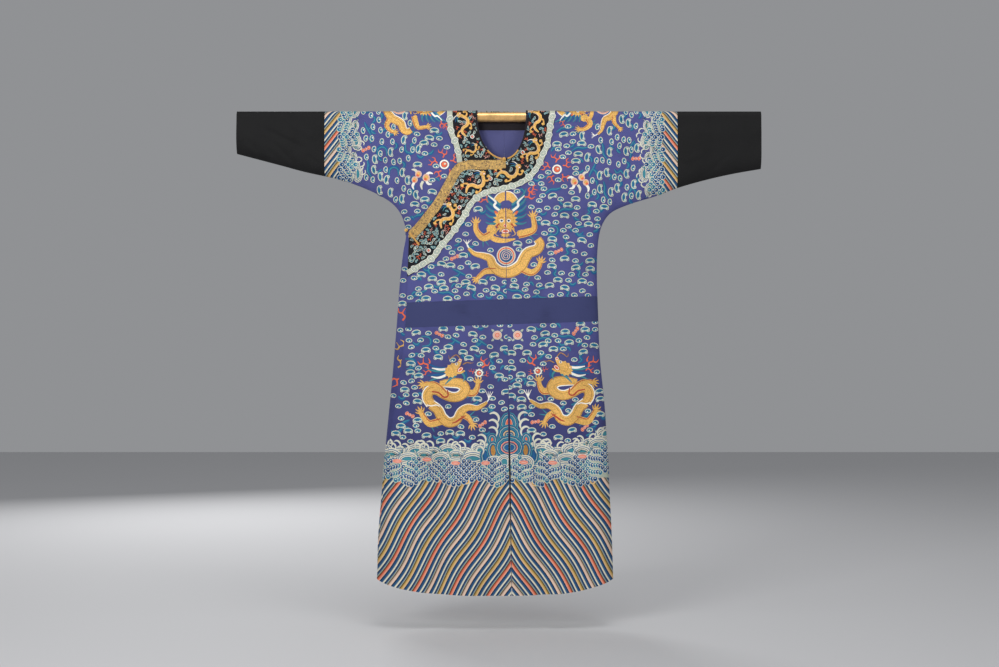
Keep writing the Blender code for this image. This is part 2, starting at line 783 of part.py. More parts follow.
def bindings():
    """The dark binding round the neckline."""
    for name, side, stop, base in (
        ("neck_binding_over", 1, OVER_STOP, outer_lift),
        ("neck_binding_under", -1, UNDER_STOP, flat_lift),
    ):
        line = neckline(side, FRONT, NECK_STEPS, stop)
        grid = between(line, nudged(line, -side * BINDING_WIDTH), 1, at_left=HOLD_Y)
        panel(name, (grid,), over(base, YOKE, own=TRIM), TRIM, FRONT, "dark_binding")
    left, right = (neckline(side, BACK, BACK_NECK_STEPS) for side in (1, -1))
    line = np.vstack([left, right[::-1][1:]])
    grid = between(line, nudged(line, -BINDING_WIDTH), 1, at_left=HOLD_Y, at_right=HOLD_Y)
    lift = over(flat_lift, YOKE, own=TRIM)
    panel("neck_binding_back", (grid,), lift, TRIM, BACK, "dark_binding")


def knot(name, place, lift):
    """A round knotted button on the cloth."""
    centre = cloth(*place, lift + KNOT_RADIUS, FRONT)
    bpy.ops.mesh.primitive_uv_sphere_add(
        segments=12, ring_count=8, radius=KNOT_RADIUS, location=centre
    )
    adopt(name, "gold_cord")


def ribbon(name, middle, lift):
    """A flat gold cord along a line of places."""
    half = LOOP_WIDTH / 2
    grid = between(nudged(middle, -half), nudged(middle, half), 1)
    panel(name, (grid,), lift, LOOP, FRONT, "gold_cord")


def fastenings():
    """The cords and knotted buttons at the throat and under the arm."""
    braid_face = over(flap_lift, YOKE, own=TRIM)
    on_left = over(outer_lift, YOKE, TRIM, own=LOOP)
    on_right = over(flat_lift, YOKE, TRIM, own=LOOP)

    def climbing(x, drop):
        return on_right(x, drop) + LAP * ease((x - CORD_CLIMB_FROM) / CORD_CLIMB_OVER)

    def on_braid(x, drop):
        return braid_face(x, drop) + GAP + LOOP

    middle = (0.0, BINDING_WIDTH / 2)
    for name, side, lift in (("left", 1, on_left), ("right", -1, climbing)):
        turns = np.radians(np.linspace(*CORD_TURNS[side], CORD_STEPS))
        line = neck_places(side, FRONT, turns) + middle + CORD_SHIFT[side]
        ribbon("throat_cord_" + name, line, lift)
    ribbon("side_cord", spaced(SIDE_LOOP, CORD_STEPS - 1), on_braid)
    knot("throat_knot", THROAT_KNOT, LAP + YOKE + TRIM + 3 * GAP)
    knot("side_knot", SIDE_KNOT, GAP)


def linings():
    """The facing and the silk lining inside the back, where the open neck shows them."""

    def inside(x, drop):
        return -CLOTH - GAP + flat_lift(x, drop)

    for side, side_name in ((1, "left"), (-1, "right")):
        grid = strip(
            lambda drop, share: centre_edge(side)(drop) + side * LINING_HALF * share,
            level(FACING_BOTTOM + SEAM),
            level(LINING_BOTTOM),
            LINING_ROWS,
            np.linspace(0, 1, LINING_ROWS),
            at_left=HOLD_X,
            at_top=HOLD_Z,
        )
        panel("back_lining_" + side_name, (grid,), inside, LINING, BACK, "blue_lining")
    facing = strip(
        lambda drop, share: seam_x(drop) + LINING_HALF * share,
        level(LINING_TOP),
        level(FACING_BOTTOM),
        2,
        np.linspace(-1, 1, 9),
        at_bottom=HOLD_Z,
    )
    panel("back_neck_facing", (facing,), inside, LINING, BACK, "dark_binding")


def adopt(name, finish):
    """Names the object just added, gives it its finish and moves it in with the parts."""
    made = bpy.context.object
    made.name = made.data.name = name
    made.data.materials.append(material(finish))
    made.data.shade_smooth()
    made.data.set_sharp_from_angle(angle=math.radians(50))
    for home in list(made.users_collection):
        home.objects.unlink(made)
    parts.objects.link(made)
    return made


def hanging_rod():
    """The brass rod, which ends just inside the sleeve ends."""
    start, end = ROD_ENDS
    bpy.ops.mesh.primitive_cylinder_add(
        vertices=ROD_SIDES,
        radius=ROD_RADIUS,
        depth=end - start,
        location=((start + end) / 2, 0, 0),
        rotation=(0, math.pi / 2, 0),
    )
    rod = adopt("hanging_rod", "brass")
    bevel = rod.modifiers.new("Chamfered ends", "BEVEL")
    bevel.width = ROD_CHAMFER
    bevel.segments = 1
    bevel.limit_method = "ANGLE"
    bevel.angle_limit = math.radians(60)


for old in list(bpy.data.objects):
    bpy.data.objects.remove(old)
parts = bpy.data.collections.new("dragon_robe_on_rod")
bpy.context.scene.collection.children.link(parts)

hanging_rod()
bodices()
underlap()
bands_and_skirts()
sleeve_ends()
yokes()
braid()
bindings()
fastenings()
linings()
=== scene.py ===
"""Weaves the hanging dragon robe: its silk panels with their patterns, its trim and its rod.

Metres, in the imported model's frame. A place on the cloth is given by x, by its drop below the
rod's axis (under zero it is on the roll over the rod), and by its lift off the base layer. A
motif is drawn flat in millimetres and then draped over the panel that it was woven in.
"""

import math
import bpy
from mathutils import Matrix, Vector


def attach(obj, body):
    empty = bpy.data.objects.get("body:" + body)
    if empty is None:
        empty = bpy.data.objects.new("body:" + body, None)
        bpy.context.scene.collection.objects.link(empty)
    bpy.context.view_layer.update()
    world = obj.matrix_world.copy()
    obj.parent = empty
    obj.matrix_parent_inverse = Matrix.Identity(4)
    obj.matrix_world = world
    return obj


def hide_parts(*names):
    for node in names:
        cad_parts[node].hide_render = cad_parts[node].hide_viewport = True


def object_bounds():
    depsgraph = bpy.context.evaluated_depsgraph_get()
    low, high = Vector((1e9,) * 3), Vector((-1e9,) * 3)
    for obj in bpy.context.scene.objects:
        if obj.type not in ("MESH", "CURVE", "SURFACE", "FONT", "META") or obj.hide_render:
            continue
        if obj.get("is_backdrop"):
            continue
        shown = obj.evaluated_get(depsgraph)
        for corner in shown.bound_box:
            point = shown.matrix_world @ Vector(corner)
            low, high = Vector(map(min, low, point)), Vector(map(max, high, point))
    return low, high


bl_info = {
    "name": "Dragon Robe on a Hanging Rod",
    "version": (1, 0, 0),
    "blender": (4, 5, 0),
    "location": "View3D > Sidebar > Robe",
    "description": "Weaves a hanging silk dragon robe over its solid model",
    "category": "Add Mesh",
}

import bmesh
import bpy
import numpy as np
from mathutils import Vector, kdtree

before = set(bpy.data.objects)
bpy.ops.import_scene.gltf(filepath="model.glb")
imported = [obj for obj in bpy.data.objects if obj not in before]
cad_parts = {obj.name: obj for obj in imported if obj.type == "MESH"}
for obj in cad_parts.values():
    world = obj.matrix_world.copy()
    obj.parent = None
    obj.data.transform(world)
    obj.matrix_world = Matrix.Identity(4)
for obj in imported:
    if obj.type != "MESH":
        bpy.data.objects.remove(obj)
CAD_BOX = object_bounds()
BODY = "root"
MM = 0.001

# The rod, and the cloth that rolls over it
ROD_RADIUS = 0.0140
CLOTH = 0.0016
SEAM = 0.0003
ROLL = ROD_RADIUS + 0.0007 + CLOTH
FOLD_TOP = -(ROLL * math.pi / 2 - SEAM / 2)

# The silhouette on each side, from sleeve end to hem: distance out, drop
RIGHT_OUTLINE = (
    (0.757, 0.106),
    (0.643, 0.136),
    (0.565, 0.157),
    (0.505, 0.170),
    (0.4535, 0.182),
    (0.393, 0.204),
    (0.3444, 0.2267),
    (0.310, 0.250),
    (0.2890, 0.2760),
    (0.2775, 0.305),
    (0.2727, 0.340),
    (0.281, 0.390),
    (0.290, 0.468),
    (0.2985, 0.583),
    (0.3128, 0.755),
    (0.3300, 0.930),
    (0.3444, 1.099),
    (0.3530, 1.214),
    (0.3550, 1.322),
)
LEFT_OUTLINE = (
    (0.745, 0.149),
    (0.665, 0.163),
    (0.5855, 0.181),
    (0.505, 0.204),
    (0.445, 0.2267),
    (0.370, 0.2497),
    (0.3186, 0.2727),
    (0.2935, 0.303),
    (0.2813, 0.3415),
    (0.2760, 0.400),
    (0.2755, 0.468),
    (0.2784, 0.554),
    (0.2840, 0.690),
    (0.2985, 0.841),
    (0.3100, 1.042),
    (0.3186, 1.214),
    (0.3220, 1.322),
)
ARMPITS = {-1: 0.340, 1: 0.360}
SLEEVE_SEAM = 0.505
HEM_MIDDLE = 1.362
HEM_CORNER = 1.322
HEM_CENTRE = -0.016
HEM_HALF = 0.339
HEM_BEND = 3.3

# Lines across the body
NECK_X = 0.010
NECK_HALF = {-1: 0.0775, 1: 0.0615}
NECK_DEPTH = {-1: 0.1205, 1: 0.0040}
SEAM_AT_ROD = 0.008
SEAM_SHIFT = 0.0165
BAND_TOP = 0.524
BAND_BOTTOM = 0.5955
BAND_TILT = 0.034
VENT_TOP = 0.790
VENT_WIDEST = 1.000
VENT_GAP = 0.0042
VENT_HEM_GAP = 0.0018
FLAP_TOP = (
    (0.0140, 0.1216),
    (-0.0100, 0.1258),
    (-0.0574, 0.1269),
    (-0.0918, 0.1272),
    (-0.1211, 0.1345),
    (-0.1409, 0.1541),
    (-0.1656, 0.1986),
    (-0.1903, 0.2431),
    (-0.2127, 0.2727),
    (-0.2353, 0.3025),
    (-0.2595, 0.3290),
)
FLAP_SIDE = (
    (-0.2595, 0.329),
    (-0.2680, 0.525),
    (-0.2735, 0.630),
    (-0.2840, 0.715),
    (-0.2956, 0.789),
    (-0.3100, 0.887),
    (-0.3270, 1.013),
    (-0.3387, 1.128),
    (-0.3465, 1.230),
    (-0.3520, 1.322),
)
FLAP_GAP = 0.0015
LAP = FLAP_GAP + CLOTH
LAP_WIDTH = 0.16

# How far each face of the hanging garment stands out: from drop, to drop, gain
BODY_DEPTH = (
    (0.00, 0.30, 0.017),
    (0.10, 0.70, 0.013),
    (0.50, 1.40, 0.027),
)
BACK_SHARE = 0.86
SLEEVE_DEPTH = 0.004
SLEEVE_EDGE = 0.050
BODY_EDGE = 0.110

# Hanging folds: face, x and drop at the top, x and drop at the bottom, width, height
FRONT, BACK = -1, 1
FOLDS = (
    (FRONT, 0.112, 0.72, 0.122, 1.50, 0.026, -0.0100),
    (FRONT, 0.165, 0.80, 0.172, 1.50, 0.034, 0.0060),
    (FRONT, 0.235, 0.66, 0.262, 1.50, 0.028, -0.0070),
    (FRONT, 0.205, 0.26, 0.214, 0.52, 0.026, -0.0030),
    (FRONT, -0.150, 0.76, -0.176, 1.50, 0.036, -0.0110),
    (FRONT, -0.085, 0.84, -0.096, 1.50, 0.040, 0.0050),
    (FRONT, -0.235, 0.84, -0.262, 1.50, 0.028, -0.0060),
    (BACK, 0.105, 0.66, 0.128, 1.50, 0.032, -0.0100),
    (BACK, 0.212, 0.50, 0.248, 1.50, 0.030, -0.0070),
    (BACK, -0.120, 0.60, -0.150, 1.50, 0.034, -0.0110),
    (BACK, -0.222, 0.54, -0.262, 1.50, 0.030, -0.0060),
    (BACK, 0.020, 0.16, 0.026, 0.70, 0.050, 0.0040),
)
FOLD_START = 0.16
FOLD_END = 0.08

# Short creases on both faces: x and drop at one end, at the other, width, height
CREASES = (
    (-0.690, 0.030, -0.560, 0.092, 0.0085, -0.0026),
    (-0.650, 0.075, -0.575, 0.150, 0.0075, -0.0024),
    (-0.672, 0.092, -0.625, 0.130, 0.0060, -0.0018),
    (-0.740, 0.060, -0.690, 0.100, 0.0070, -0.0014),
    (-0.610, 0.020, -0.530, 0.060, 0.0100, 0.0016),
    (-0.560, 0.110, -0.512, 0.140, 0.0060, -0.0016),
    (0.560, 0.185, 0.628, 0.138, 0.0075, -0.0016),
    (0.600, 0.150, 0.655, 0.108, 0.0060, -0.0012),
    (0.520, 0.130, 0.580, 0.105, 0.0090, 0.0012),
    (0.690, 0.060, 0.735, 0.120, 0.0080, -0.0010),
    (-0.256, 0.200, -0.246, 0.330, 0.0080, -0.0020),
    (0.268, 0.200, 0.232, 0.340, 0.0090, -0.0024),
    (0.244, 0.340, 0.250, 0.500, 0.0080, -0.0022),
    (0.300, 0.230, 0.330, 0.150, 0.0120, -0.0018),
    (-0.330, 0.200, -0.350, 0.120, 0.0120, -0.0016),
    (-0.035, 0.600, -0.040, 0.950, 0.0090, -0.0024),
    (0.030, 0.620, 0.036, 0.930, 0.0120, -0.0020),
    (0.268, 0.600, 0.272, 0.870, 0.0090, -0.0022),
    (0.080, 0.240, 0.120, 0.400, 0.0200, -0.0016),
    (-0.060, 0.280, -0.120, 0.430, 0.0180, -0.0014),
)
SWELLS = (
    (0.0007, 23.0, 11.0, 0.4),
    (0.0006, -14.0, 29.0, 2.1),
    (0.0004, 47.0, -36.0, 1.3),
    (0.0003, 71.0, 58.0, 5.2),
)

# Pieces that lie on the cloth, or line it
GAP = 0.0006
BULK = 0.0008
YOKE = 0.0010
TRIM = 0.0010
BRAID_WIDTH = 0.027
BRAID_START = 0.0138
BINDING_WIDTH = 0.0052
THROAT_KNOT = (0.0086, 0.1245)
SIDE_KNOT = (-0.2675, 0.3250)
SIDE_LOOP = ((-0.2575, 0.3335), (-0.2307, 0.3694))
KNOT_RADIUS = 0.0050
CORD_RADIUS = 0.0011
CORD_CLIMB_FROM = -0.038
CORD_CLIMB_OVER = 0.026
LINING = 0.0010
LINING_HALF = 0.110
LINING_TOP = 0.0095
FACING_BOTTOM = 0.0360
LINING_BOTTOM = 0.200
YOKE_EDGE = (
    (0.1554, 0.0000),
    (0.1478, 0.0373),
    (0.1406, 0.0832),
    (0.1291, 0.1090),
    (0.1148, 0.1435),
    (0.0947, 0.1722),
    (0.0718, 0.1923),
    (0.0344, 0.2095),
    (-0.0258, 0.2239),
    (-0.0545, 0.2353),
    (-0.0775, 0.2554),
    (-0.1005, 0.2956),
    (-0.1378, 0.3473),
    (-0.1693, 0.3846),
    (-0.1837, 0.4075),
    (-0.2210, 0.4334),
    (-0.2640, 0.4580),
)
RIGHT_YOKE_EDGE = (
    (-0.1554, 0.0000),
    (-0.1540, 0.0200),
    (-0.1500, 0.0500),
    (-0.1360, 0.0830),
    (-0.1290, 0.1150),
    (-0.1265, 0.1335),
)
YOKE_AT_SHOULDER = 0.1554
BACK_YOKE_DEPTH = 0.085
UNDER_STOP = math.radians(16)
OVER_STOP = math.radians(5)

# How finely the cloth is divided
ROLL_ROWS = 8
SHOULDER_ROWS = 62
CHEST_ROWS = 32
BAND_ROWS = 14
SKIRT_ROWS = 132
FLAP_ROWS = 78
YOKE_ROWS = 26
UNDER_YOKE_ROWS = 14
BACK_YOKE_ROWS = 18
BRAID_ROWS = 8
BINDING_ROWS = 4
LINING_ROWS = 34
FACING_ROWS = 6
SLEEVE_COLUMNS = 44
NECK_STEPS = 44
BACK_NECK_STEPS = 20
CORD_STEPS = 50
SILHOUETTE_STEPS = 520
MERGE = 1e-5
EDGE_STEPS = 13
SHARE_STEPS = 26
NECK_TURNS = np.radians(np.linspace(7, 83, 12))
HOLD_X, HOLD_Y, HOLD_Z = 1, 2, 4

# Where the sea of the hem and of the sleeves begins and ends
SEA_TOP = 0.955
SEA_LOW = 1.040
SLEEVE_SEA = (0.414, 0.460)
CREST_PITCH = 0.046
RIPPLE_PITCH = 0.0143
RIPPLE_DEPTH = 0.0096

# How the stripes lean, as a share of the drop, and how they sway
HEM_SLANT = -0.62
SLEEVE_SLANT = -0.78
SWAY = 0.0048
SWAY_DOWN = 21.0
SWAY_OUT = 19.0


def smooth_line(points, per_span=14):
    """A dense line through the points, as a Catmull-Rom curve."""
    p = np.array(points, float)
    p = np.vstack([2 * p[0] - p[1], p, 2 * p[-1] - p[-2]])
    t = np.linspace(0, 1, per_span, endpoint=False)[:, None]
    spans = []
    for a, b, c, d in zip(p, p[1:], p[2:], p[3:]):
        bend = (2 * a - 5 * b + 4 * c - d) * t**2 + (3 * b - a - 3 * c + d) * t**3
        spans.append(b + 0.5 * ((c - a) * t + bend))
    return np.vstack([*spans, p[-2]])


def ease(t):
    t = np.clip(t, 0, 1)
    return t * t * (3 - 2 * t)


def spaced(line, count):
    """That many points evenly along a line."""
    line = np.array(line, float)
    along = np.concatenate([[0], np.cumsum(np.linalg.norm(np.diff(line, axis=0), axis=1))])
    at = np.linspace(0, along[-1], count)
    return np.column_stack([np.interp(at, along, line[:, i]) for i in range(line.shape[1])])


def line_length(line):
    return float(np.linalg.norm(np.diff(line, axis=0), axis=1).sum())


def nudged(line, distance):
    """A line moved sideways by a distance, square to its run."""
    run = np.gradient(line, axis=0)
    run /= np.linalg.norm(run, axis=1)[:, None]
    return line + np.reshape(distance, (-1, 1)) * np.column_stack([-run[:, 1], run[:, 0]])


def turn_in(reach):
    """Distances in from an edge where the cloth turns, closer beside the edge."""
    return reach * (1 - np.cos(np.linspace(0, math.pi / 2, EDGE_STEPS + 1)))


SIDES = {-1: smooth_line(RIGHT_OUTLINE), 1: smooth_line(LEFT_OUTLINE)}
FLAP_TOP_LINE = smooth_line(FLAP_TOP)
FLAP_SIDE_LINE = smooth_line(FLAP_SIDE)
YOKE_LINE = smooth_line(YOKE_EDGE)
BRAID_LINE = nudged(FLAP_TOP_LINE, -BRAID_WIDTH)


def tree_of(places):
    """A tree that finds the nearest of some places on the cloth."""
    tree = kdtree.KDTree(max(len(places), 1))
    for row, (x, drop) in enumerate(places):
        tree.insert((x, drop, 0), row)
    tree.balance()
    return tree


def edge_trees():
    """Each side's silhouette, carried on past its ends so that those stay open, and its tree."""
    found = {}
    for side, line in SIDES.items():
        start = line[0] + 6 * (line[0] - line[4])
        end = line[-1] + (0.0, 0.12)
        edge = spaced(np.vstack([start, line, end]) * (side, 1), SILHOUETTE_STEPS)
        found[side] = edge, tree_of(edge)
    return found


EDGES = edge_trees()


def edge_distance(x, drop):
    """How far each place is from the silhouette, and the direction in from it."""
    places = np.column_stack([np.ravel(x), np.ravel(drop)])
    near = np.empty(len(places))
    inward = np.empty((len(places), 2))
    for side, (line, tree) in EDGES.items():
        mine = places[:, 0] >= 0 if side > 0 else places[:, 0] < 0
        if not mine.any():
            continue
        p = places[mine]
        row = np.array([tree.find((a, b, 0))[1] for a, b in p])
        best = np.full(len(p), np.inf)
        foot, square = np.empty((len(p), 2)), np.empty((len(p), 2))
        for first in (np.maximum(row - 1, 0), np.minimum(row, len(line) - 2)):
            run = line[first + 1] - line[first]
            share = np.clip(((p - line[first]) * run).sum(1) / (run**2).sum(1), 0, 1)
            spot = line[first] + share[:, None] * run
            gap = np.linalg.norm(p - spot, axis=1)
            closer = gap < best
            best[closer], foot[closer] = gap[closer], spot[closer]
            across = np.column_stack([-run[:, 1], run[:, 0]]) * side
            square[closer] = (across / np.linalg.norm(across, axis=1)[:, None])[closer]
        clear = best > 1e-5
        square[clear] = (p - foot)[clear] / best[clear, None]
        near[mine], inward[mine] = best, square
    shape = np.shape(x)
    return near.reshape(shape), inward[:, 0].reshape(shape), inward[:, 1].reshape(shape)


def in_body(x, drop):
    """1 in the body of the robe and 0 in its sleeves."""
    return np.maximum(1 - ease((np.abs(x) - 0.16) / 0.22), ease((drop - 0.24) / 0.14))


def fold_height(x, drop, face):
    total = np.zeros(np.shape(x))
    for layer, top_x, top, low_x, low, width, height in FOLDS:
        share = np.clip((drop - top) / (low - top), 0, 1)
        across = (x - top_x - (low_x - top_x) * share) / width
        grown = ease((drop - top) / FOLD_START) * ease((low - drop) / FOLD_END)
        total = total + (height * np.exp(-(across**2)) * grown) * (np.equal(layer, face))
    for ax, ad, bx, bd, width, height in CREASES:
        run = math.hypot(bx - ax, bd - ad)
        along = ((x - ax) * (bx - ax) + (drop - ad) * (bd - ad)) / run**2
        across = ((x - ax) * (bd - ad) - (drop - ad) * (bx - ax)) / (run * width)
        ends = ease(along / 0.35 + 0.3) * ease((1 - along) / 0.35 + 0.3)
        total = total + height * np.exp(-(across**2)) * ends
    rest = ease(drop / 0.05)
    for height, by_x, by_drop, start in SWELLS:
        total = total + height * np.sin(by_x * x + by_drop * drop + start + face) * rest
    return total


def half_depth(x, drop, near, face):
    """How far the base layer stands off the middle plane."""
    body = sum(gain * ease((drop - a) / (b - a)) for a, b, gain in BODY_DEPTH)
    body = body * np.where(np.equal(face, BACK), BACK_SHARE, 1)
    share = in_body(x, drop)
    full = share * body + (1 - share) * SLEEVE_DEPTH * ease(drop / 0.06)
    full = full + fold_height(x, drop, face) + ROLL - SEAM / 2
    reach = SLEEVE_EDGE + (BODY_EDGE - SLEEVE_EDGE) * share
    t = np.clip(near / reach, 0, 1)
    return SEAM / 2 + full * np.sqrt(1 - (1 - t) ** 2)


def cloth(x, drop, lift, face):
    """World points of places on the cloth. What passes the shoulder fold lies on the other face."""
    x, drop, lift, face = np.broadcast_arrays(
        *(np.asarray(v, float) for v in (x, drop, lift, face))
    )
    past = drop < FOLD_TOP
    face = np.where(past, -face, face)
    drop = np.where(past, 2 * FOLD_TOP - drop, drop)
    flat = np.maximum(drop, 0)
    near, in_x, in_drop = edge_distance(x, flat)
    step, inner = 1e-4, np.maximum(near, 2e-5)

    def depth_at(dx, dd):
        return half_depth(x + dx, np.maximum(flat + dd, 0), inner, face)

    by_near = (half_depth(x, flat, inner * 1.01, face) - depth_at(0, 0)) / (inner * 0.01)
    by_x = (depth_at(step, 0) - depth_at(-step, 0)) / (2 * step) + by_near * in_x
    by_drop = (depth_at(0, step) - depth_at(0, -step)) / (2 * step) + by_near * in_drop
    by_drop = by_drop * (flat > 2 * step)
    normal = np.stack([-by_x, face, by_drop], -1)
    normal /= np.linalg.norm(normal, axis=-1, keepdims=True)
    point = np.stack([x, face * half_depth(x, flat, near, face), -flat], -1)

    turn = -np.minimum(drop, 0) / ROLL
    over_rod = np.stack([0 * x, face * np.cos(turn), np.sin(turn)], -1)
    on_roll = (drop < 0)[..., None]
    point = np.where(on_roll, ROLL * over_rod + np.stack([x, 0 * x, 0 * x], -1), point)
    normal = np.where(on_roll, over_rod, normal)
    return point + lift[..., None] * normal


def seam_x(drop):
    """The centre seam, which hangs a little to the wearer's left."""
    return SEAM_AT_ROD + SEAM_SHIFT * np.asarray(drop, float)


def centre_edge(side, face=FRONT):
    """x of a panel's centre edge at a drop: half a seam out, and more in the front vent."""

    def edge(drop):
        if face == BACK:
            return seam_x(drop) + side * SEAM / 2
        opening = VENT_GAP * ease((drop - VENT_TOP) / (VENT_WIDEST - VENT_TOP))
        closing = (VENT_GAP - VENT_HEM_GAP) * ease((drop - VENT_WIDEST - 0.06) / 0.22)
        return seam_x(drop) + side * (SEAM + opening - closing) / 2

    return edge


def side_edge(side):
    line = SIDES[side]
    return lambda drop: side * np.interp(drop, line[:, 1], line[:, 0])


def flap_side(drop):
    return np.interp(drop, FLAP_SIDE_LINE[:, 1], FLAP_SIDE_LINE[:, 0])


def drop_on(line):
    """Reads a line's drop at x, for a line that runs towards -x."""
    return lambda x: np.interp(-np.asarray(x, float), -line[:, 0], line[:, 1])


flap_top = drop_on(FLAP_TOP_LINE)
yoke_low = drop_on(YOKE_LINE)
braid_low = drop_on(BRAID_LINE)


def level(drop):
    return lambda x: drop + 0 * x


def band_line(height, seam):
    return lambda x: height - BAND_TILT * x + seam


above_band = band_line(BAND_TOP, -SEAM / 2)
band_top = band_line(BAND_TOP, SEAM / 2)
band_low = band_line(BAND_BOTTOM, -SEAM / 2)
below_band = band_line(BAND_BOTTOM, SEAM / 2)


def hem(x):
    share = np.clip(np.abs(x - HEM_CENTRE) / HEM_HALF, 0, 1.05)
    return HEM_MIDDLE - (HEM_MIDDLE - HEM_CORNER) * share**HEM_BEND


def outer_lift(x, drop):
    """The front's outer layer rises from the side seam to lie over the underlap."""
    across = 1 - ease((np.asarray(x, float) - 0.012) / LAP_WIDTH)
    return LAP * across * ease((drop - 0.02) / 0.09)


def flat_lift(x, drop):
    return 0.0 * np.asarray(x, float)


def flap_lift(x, drop):
    return LAP + flat_lift(x, drop)


def over(base, *below, own):
    """The lift of a piece's outer face: what is under it and its own thickness."""
    layers = len(below) + 1
    total = sum(below) + GAP * layers + own
    return lambda x, drop: base(x, drop) + total + layers * BULK * ease((-x - 0.19) / 0.05)


def neck_places(side, face, turns):
    """Places on the neckline: a turn of 0 is its lowest point, a quarter turn the shoulder."""
    x = NECK_X + side * NECK_HALF[side] * np.sin(turns)
    return np.column_stack([x, NECK_DEPTH[face] * np.cos(turns)])


def rolled(line):
    """A line that starts at drop 0, with the roll up to the shoulder fold put before it."""
    up = np.linspace(FOLD_TOP, 0, ROLL_ROWS + 1)[:-1]
    return np.vstack([np.column_stack([np.full(ROLL_ROWS, line[0][0]), up]), line])


def neckline(side, face, count, stop=0.0):
    """The neck's edge from the shoulder fold down to a turn near its lowest point."""
    return rolled(neck_places(side, face, np.linspace(math.pi / 2, stop, count)))


def back_yoke_bow(turns, side=1):
    """The back yoke's lower edge: a turn of 0 is its middle, a quarter turn the shoulder."""
    across = side * YOKE_AT_SHOULDER * np.sin(turns)
    return np.column_stack([across, BACK_YOKE_DEPTH * np.cos(turns)])


def rims(shape, at_left=0, at_right=0, at_top=0, at_bottom=0):
    hold = np.zeros(shape, int)
    hold[:, 0] |= at_left
    hold[:, -1] |= at_right
    hold[0, :] |= at_top
    hold[-1, :] |= at_bottom
    return hold


def strip(across, top, low, rows, shares, **hold):
    """Places between two lines: across gives x at a drop and a share, the others drop at x."""
    down = np.linspace(0, 1, rows + 1)[:, None]
    tops = lows = across(np.array([[0.6]]), shares)
    for _ in range(4):
        drop = top(tops) + (low(lows) - top(tops)) * down
        x = across(drop, shares)
        tops, lows = x[:1], x[-1:]
    return x, drop, rims(x.shape, **hold)


def between(inner, outer, rows, **hold):
    """Places between two lines of as many points each."""
    share = np.linspace(0, 1, rows + 1)[:, None, None]
    x, drop = np.moveaxis(inner + (outer - inner) * share, -1, 0)
    return x, drop, rims(x.shape, **hold)


def half_across(side, face=FRONT):
    """x between the centre edge and the side seam."""
    centre, outer = centre_edge(side, face), side_edge(side)
    return lambda drop, share: centre(drop) + (outer(drop) - centre(drop)) * share


def flap_across(drop, share):
    """x between the centre edge and the flap's edge, and with a share over 1 to the side."""
    centre, edge, side = centre_edge(-1)(drop), flap_side(drop), side_edge(-1)(drop)
    return centre + (edge - centre) * np.minimum(share, 1) + (side - edge) * np.maximum(share - 1, 0)


def half_shares(side):
    """Shares at which a bodice half has its columns, with one below the neck's corner."""
    inner, outer = float(centre_edge(side)(ARMPITS[side])), float(side_edge(side)(ARMPITS[side]))
    neck = neck_places(side, FRONT, NECK_TURNS)[:, 0]
    corner = NECK_X + side * NECK_HALF[side]
    edge = outer - side * turn_in(0.095)[::-1]
    middle = np.linspace(corner, edge[0], SHARE_STEPS)[:-1]
    return (np.concatenate([[inner], neck, middle, edge]) - inner) / (outer - inner)


def flap_shares():
    inner, outer = float(centre_edge(-1)(ARMPITS[-1])), FLAP_TOP[-1][0]
    neck = neck_places(-1, FRONT, NECK_TURNS)[:, 0]
    corner = NECK_X - NECK_HALF[-1]
    edge = outer + turn_in(0.045)[::-1]
    middle = np.linspace(corner, edge[0], SHARE_STEPS + 8)[:-1]
    return (np.concatenate([[inner], neck, middle, edge]) - inner) / (outer - inner)


def skirt_shares():
    edge = 1 - turn_in(0.28)[::-1]
    return np.concatenate([np.linspace(0, edge[0], 2 * SHARE_STEPS)[:-1], edge])


def under_neck(side, face, columns, left):
    """The columns between the centre and the neck's corner, from the neckline to armpit level."""
    centre = centre_edge(side)
    corner = columns[-1]
    start = centre(ARMPITS[side])
    xs, drops = [], []
    for column in columns:
        weight = (corner - column) / (corner - start)
        top = NECK_DEPTH[face]
        for _ in range(6):
            x = corner + (centre(top) - corner) * weight
            reach = min(abs(x - NECK_X) / NECK_HALF[side], 1)
            top = NECK_DEPTH[face] * math.sqrt(1 - reach**2)
        down = np.linspace(top, ARMPITS[side], SHOULDER_ROWS + 1)
        xs.append(corner + (centre(down) - corner) * weight)
        drops.append(down)
    xs, drops = np.array(xs).T, np.array(drops).T
    return xs, drops, rims(xs.shape, at_left=left)


def rows_down(low, rounded):
    """Drops of one column over the roll and down to low, closer there where it turns."""
    even = np.linspace(0, low, SHOULDER_ROWS + 1)
    edge = low - turn_in(min(SLEEVE_EDGE, low * 0.6))[::-1]
    turned = np.concatenate([np.linspace(0, edge[0], SHOULDER_ROWS - EDGE_STEPS + 1), edge[1:]])
    roll = np.linspace(FOLD_TOP, 0, ROLL_ROWS + 1)
    return np.concatenate([roll[:-1], (1 - rounded) * even + rounded * turned])


def shoulder(side, columns):
    """The columns from the neck's corner out to the armpit, and then along the sleeve."""
    line = SIDES[side]
    upper = line[line[:, 1] <= ARMPITS[side] + 1e-9][::-1]
    reach = columns[-1]
    seam = side * (SLEEVE_SEAM - SEAM / 2)
    sleeve = reach + (seam - reach) * np.linspace(0, 1, SLEEVE_COLUMNS + 1)[1:] ** 1.4
    columns_out = np.concatenate([columns, sleeve])
    drops = []
    for x in columns_out:
        under_arm = abs(x) > abs(reach) - 1e-9
        low = float(np.interp(abs(x), upper[:, 0], upper[:, 1])) if under_arm else ARMPITS[side]
        drops.append(rows_down(low, float(ease((abs(x) - 0.19) / (abs(reach) - 0.19)))))
    drops = np.array(drops).T
    xs = np.broadcast_to(columns_out, drops.shape)
    hold = rims(xs.shape, at_right=HOLD_X, at_top=HOLD_Y)
    hold[-1, len(columns) - 1 :] |= HOLD_Y
    return xs, drops, hold


